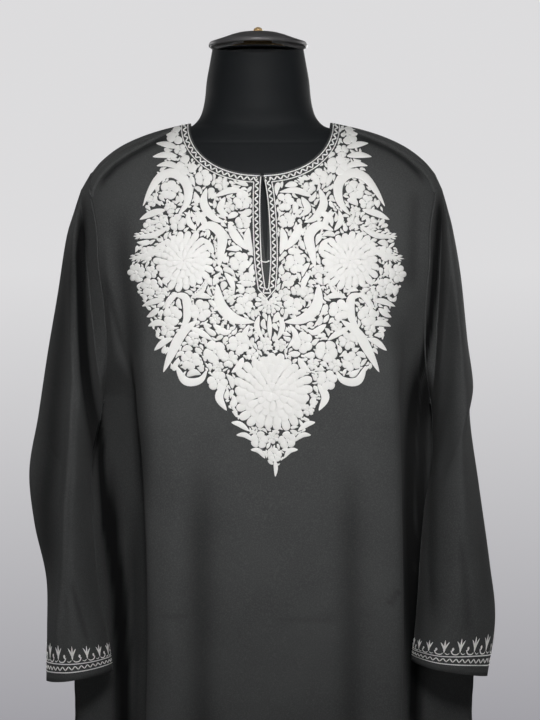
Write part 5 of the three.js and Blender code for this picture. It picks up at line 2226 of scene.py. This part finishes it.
@dataclass
class Studio:
    """Pale floor, soft lamps, a sky that the camera sees and a camera at the photograph's place."""

    eye: tuple[float, float, float] = (0.0138, -2.5, 1.092)
    lens: float = 108.7
    backdrop: Colour = (0.72, 0.715, 0.725)
    # painted shade: colour that the backdrop darkens to towards the bottom
    low_backdrop: Colour = (0.35, 0.345, 0.37)
    fill: float = 0.085
    floor_radius: float = 3.4
    lamps: tuple[Lamp, ...] = (
        Lamp("pool", (0.12, -2.6, 2.0), 1.1, 0.4, 1.22, 25),
        Lamp("window", (0.2, -2.9, 2.6), 1.1, 1.0, 19),
        Lamp("back_fill", (0.5, 2.9, 1.5), 0.9, 1.1, 56),
        Lamp("side_left", (-2.2, 2.4, 1.6), 0.9, 1.0, 16),
        Lamp("side_right", (2.2, 2.4, 1.6), 0.9, 1.0, 16),
    )

    def floor(self) -> None:
        """Lays the pale floor."""
        bpy.ops.object.select_all(action="DESELECT")
        bpy.ops.mesh.primitive_circle_add(
            vertices=96, radius=self.floor_radius, fill_type="NGON", location=(0, 0, 0)
        )
        floor = bpy.context.object
        floor.name = "pale_floor"
        bpy.ops.object.transform_apply(location=True, rotation=True, scale=True)
        floor.data.materials.append(StageBoard().make())

    def sky(self) -> None:
        """Sets up the backdrop that the camera sees, with painted shade that darkens it towards the bottom,
        and the dim fill that lights the part.
        """
        world = bpy.data.worlds.new("studio_daylight")
        world.use_nodes = True
        desk = NodeDesk(world.node_tree)
        seen = world.node_tree.nodes["Background"]
        height = desk.add("SeparateXYZ", {0: desk.add("TexCoord").outputs["Generated"]}).outputs[2]
        share = desk.spread(height, -0.165, 0.04, 0.0, 1.0)
        desk.feed(seen.inputs[0], desk.blend(share, self.low_backdrop, self.backdrop))
        dim = desk.add("Background", {0: (*self.backdrop, 1), 1: self.fill})
        ray = desk.add("LightPath").outputs["Is Camera Ray"]
        mixed = desk.add("MixShader", {0: ray, 1: dim.outputs[0], 2: seen.outputs[0]})
        desk.feed(world.node_tree.nodes["World Output"].inputs[0], mixed.outputs[0])
        bpy.context.scene.world = world

    def build(self) -> None:
        """Sets up the floor, the sky, the lamps and the camera."""
        self.floor()
        self.sky()
        for lamp in self.lamps:
            lamp.hang()
        scene = bpy.context.scene
        scene.view_settings.view_transform = "Standard"
        data = bpy.data.cameras.new("camera")
        data.sensor_fit = "VERTICAL"
        data.sensor_height = 36
        data.lens = self.lens
        camera = bpy.data.objects.new("camera", data)
        camera.location = self.eye
        camera.rotation_euler = (math.pi / 2, 0, 0)
        scene.collection.objects.link(camera)
        scene.camera = camera


# Creases: places, width and push out in mm, and the strength of the painted shade laid along each. The creases
# that push nothing out, such as the gaps beside the sleeves and the right hollow, are painted shade only.
LEFT_GAP_SHADE = Crease(
    (
        (-197, 1296), (-199, 1252), (-200, 1209), (-198, 1167), (-196, 1124), (-193, 1082), (-189, 1046),
        (-184, 1000), (-181, 940), (-176, 880), (-166, 820),
    ),
    5.4,
    0,
    1.7,
)
RIGHT_GAP_SHADE = Crease(
    ((207, 1296), (205, 1252), (201, 1209), (198, 1167), (193, 1124), (186, 1082), (178, 1040)), 4.8, 0, 1.4
)
LEFT_SHADE = Crease(
    ((-206, 1270), (-212, 1200), (-222, 1110), (-228, 1040), (-232, 980), (-238, 930), (-236, 800)),
    15,
    -4,
    0.66,
)
LEFT_SHOULDER = Crease(
    ((-90, 1349), (-120, 1334), (-142, 1322), (-160, 1309), (-172, 1297), (-180, 1280)), 4, -2, 0.75
)
LEFT_CHEST = Crease(
    ((-152, 1275), (-150, 1202), (-142, 1130), (-132, 1060), (-128, 1000), (-126, 900)), 10, -3, 0.4
)
RIGHT_HOLLOW_SHADE = Crease(
    ((188, 1130), (178, 1046), (175, 1000), (174, 920), (175, 840), (178, 760), (183, 600)), 8.5, 0, 1.5
)
# groove of the hem's stitching, with painted shade along it
HEM_STITCHING = Crease(((-236, 342), (0, 342), (262, 342)), 2.5, -0.8, 0.3)
CREASES = {
    "front": (
        LEFT_SHOULDER,
        Crease(((100, 1349), (128, 1338), (150, 1328), (166, 1317), (180, 1304), (190, 1288)), 4, -2, 0.75),
        Crease(((-182, 1240), (-172, 1180), (-160, 1110), (-150, 1060)), 11, 6),
        Crease(((-174, 1196), (-155, 1120), (-137, 1062)), 4.5, -2.2, 0.3),
        LEFT_CHEST,
        Crease(((-139, 960), (-142, 880), (-140, 760), (-141, 620), (-141, 400)), 10, 0, 0.55),
        Crease(((-176, 1000), (-170, 882), (-161, 820), (-157, 740), (-154, 640), (-150, 440)), 11, 0, 1.35),
        LEFT_GAP_SHADE,
        Crease(((178, 1290), (176, 1230), (172, 1160)), 8, -3, 0.25),
        RIGHT_GAP_SHADE,
        Crease(((200, 1120), (192, 1060), (190, 1000), (189, 930), (186, 840), (190, 700)), 8, 0, 1.3),
        RIGHT_HOLLOW_SHADE,
        Crease(((-62, 1010), (-62, 860), (-61, 640), (-66, 400)), 13, -3, 0.42),
        Crease(((102, 1020), (103, 860), (104, 640), (100, 400)), 13, -3, 0.34),
        HEM_STITCHING,
        Crease(((-112, 812), (-60, 808)), 4, -1.2, 0.15),
        Crease(((10, 806), (140, 811)), 4, -1.2, 0.15),
        Crease(((158, 840), (143, 822)), 3.5, -1.5, 0.3),
        Crease(((-100, 800), (-90, 760)), 6, 1.5),
    ),
    "back": (
        Crease(((-150, 1290), (-120, 1240), (-70, 1205)), 9, -3, 0.25),
        Crease(((152, 1285), (126, 1238), (80, 1208)), 9, -3, 0.25),
        Crease(((-60, 1330), (0, 1318), (66, 1331)), 7, -2, 0.15),
        Crease(((-160, 1060), (-135, 980), (-128, 880)), 10, -4, 0.3),
        Crease(((165, 1060), (140, 985), (132, 870)), 10, -4, 0.3),
        Crease(((-90, 820), (40, 812), (120, 818)), 4, -1.2, 0.12),
        HEM_STITCHING,
    ),
    "sleeve_left": (
        Crease(((-203, 1285), (-209, 1236), (-211, 1169), (-208, 1110), (-204, 1048)), 4.5, 6),
        Crease(((-197, 1275), (-199, 1240), (-198, 1190), (-193, 1104), (-187, 1000), (-183, 900)), 6.5, -6),
        LEFT_GAP_SHADE,
        Crease(((-205, 1100), (-209, 990), (-214, 930), (-216, 873), (-224, 800), (-228, 740)), 4.5, 7),
        LEFT_SHADE,
        Crease(((-183, 1010), (-178, 919), (-169, 853), (-163, 775)), 5, -3, 0.6),
        Crease(((-208, 850), (-196, 800), (-188, 770)), 3, -1.6, 0.3),
        Crease(((-214, 840), (-206, 790), (-200, 765)), 3, 1.4),
        Crease(((-236, 1010), (-228, 985), (-214, 975)), 4, -2, 0.25),
    ),
    "sleeve_left_back": (
        Crease(((-206, 1200), (-214, 1080), (-222, 950)), 9, -5),
        Crease(((-230, 1100), (-240, 980), (-232, 860)), 8, 3),
        Crease(((-190, 960), (-206, 900), (-226, 880)), 6, -3),
    ),
    "sleeve_right": (
        RIGHT_GAP_SHADE,
        Crease(((216, 1240), (226, 1130), (236, 1060)), 6, 3.5),
        Crease(((208, 1220), (212, 1130), (214, 1040), (208, 950)), 9, -3.5, 0.3),
        Crease(((234, 1046), (243, 978), (252, 870), (262, 800)), 8, -3, 0.2),
        Crease(((192, 1046), (189, 955), (187, 860), (190, 790)), 4, 3),
        Crease(((199, 1046), (196, 955), (194, 860), (196, 790)), 5, -3, 0.45),
        Crease(((224, 900), (232, 840), (236, 780)), 5, -2.5, 0.25),
    ),
    "sleeve_right_back": (
        Crease(((208, 1190), (216, 1070), (226, 960)), 9, -5),
        Crease(((236, 1100), (246, 960), (252, 850)), 8, 3),
        Crease(((196, 940), (214, 900), (236, 890)), 6, -3),
    ),
}


def main() -> None:
    """Builds and dresses the whole part."""
    logging.basicConfig(level=logging.INFO, format="%(message)s")
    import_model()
    Studio().build()
    shape = TunicShape(creases=CREASES)
    tunic = Tunic(shape)
    tunic.build()
    ground = front_ground(shape)
    Seams(shape, ground).build()
    NeckClosure(ground).build()
    YokeEmbroidery(tunic.neckline, ground).build()
    for side in Side:
        CuffEmbroidery(side, cuff_ground(shape.sleeve(side))).build()
    DressForm().build()
    PoleStand().build()


if __name__ == "__main__":
    main()
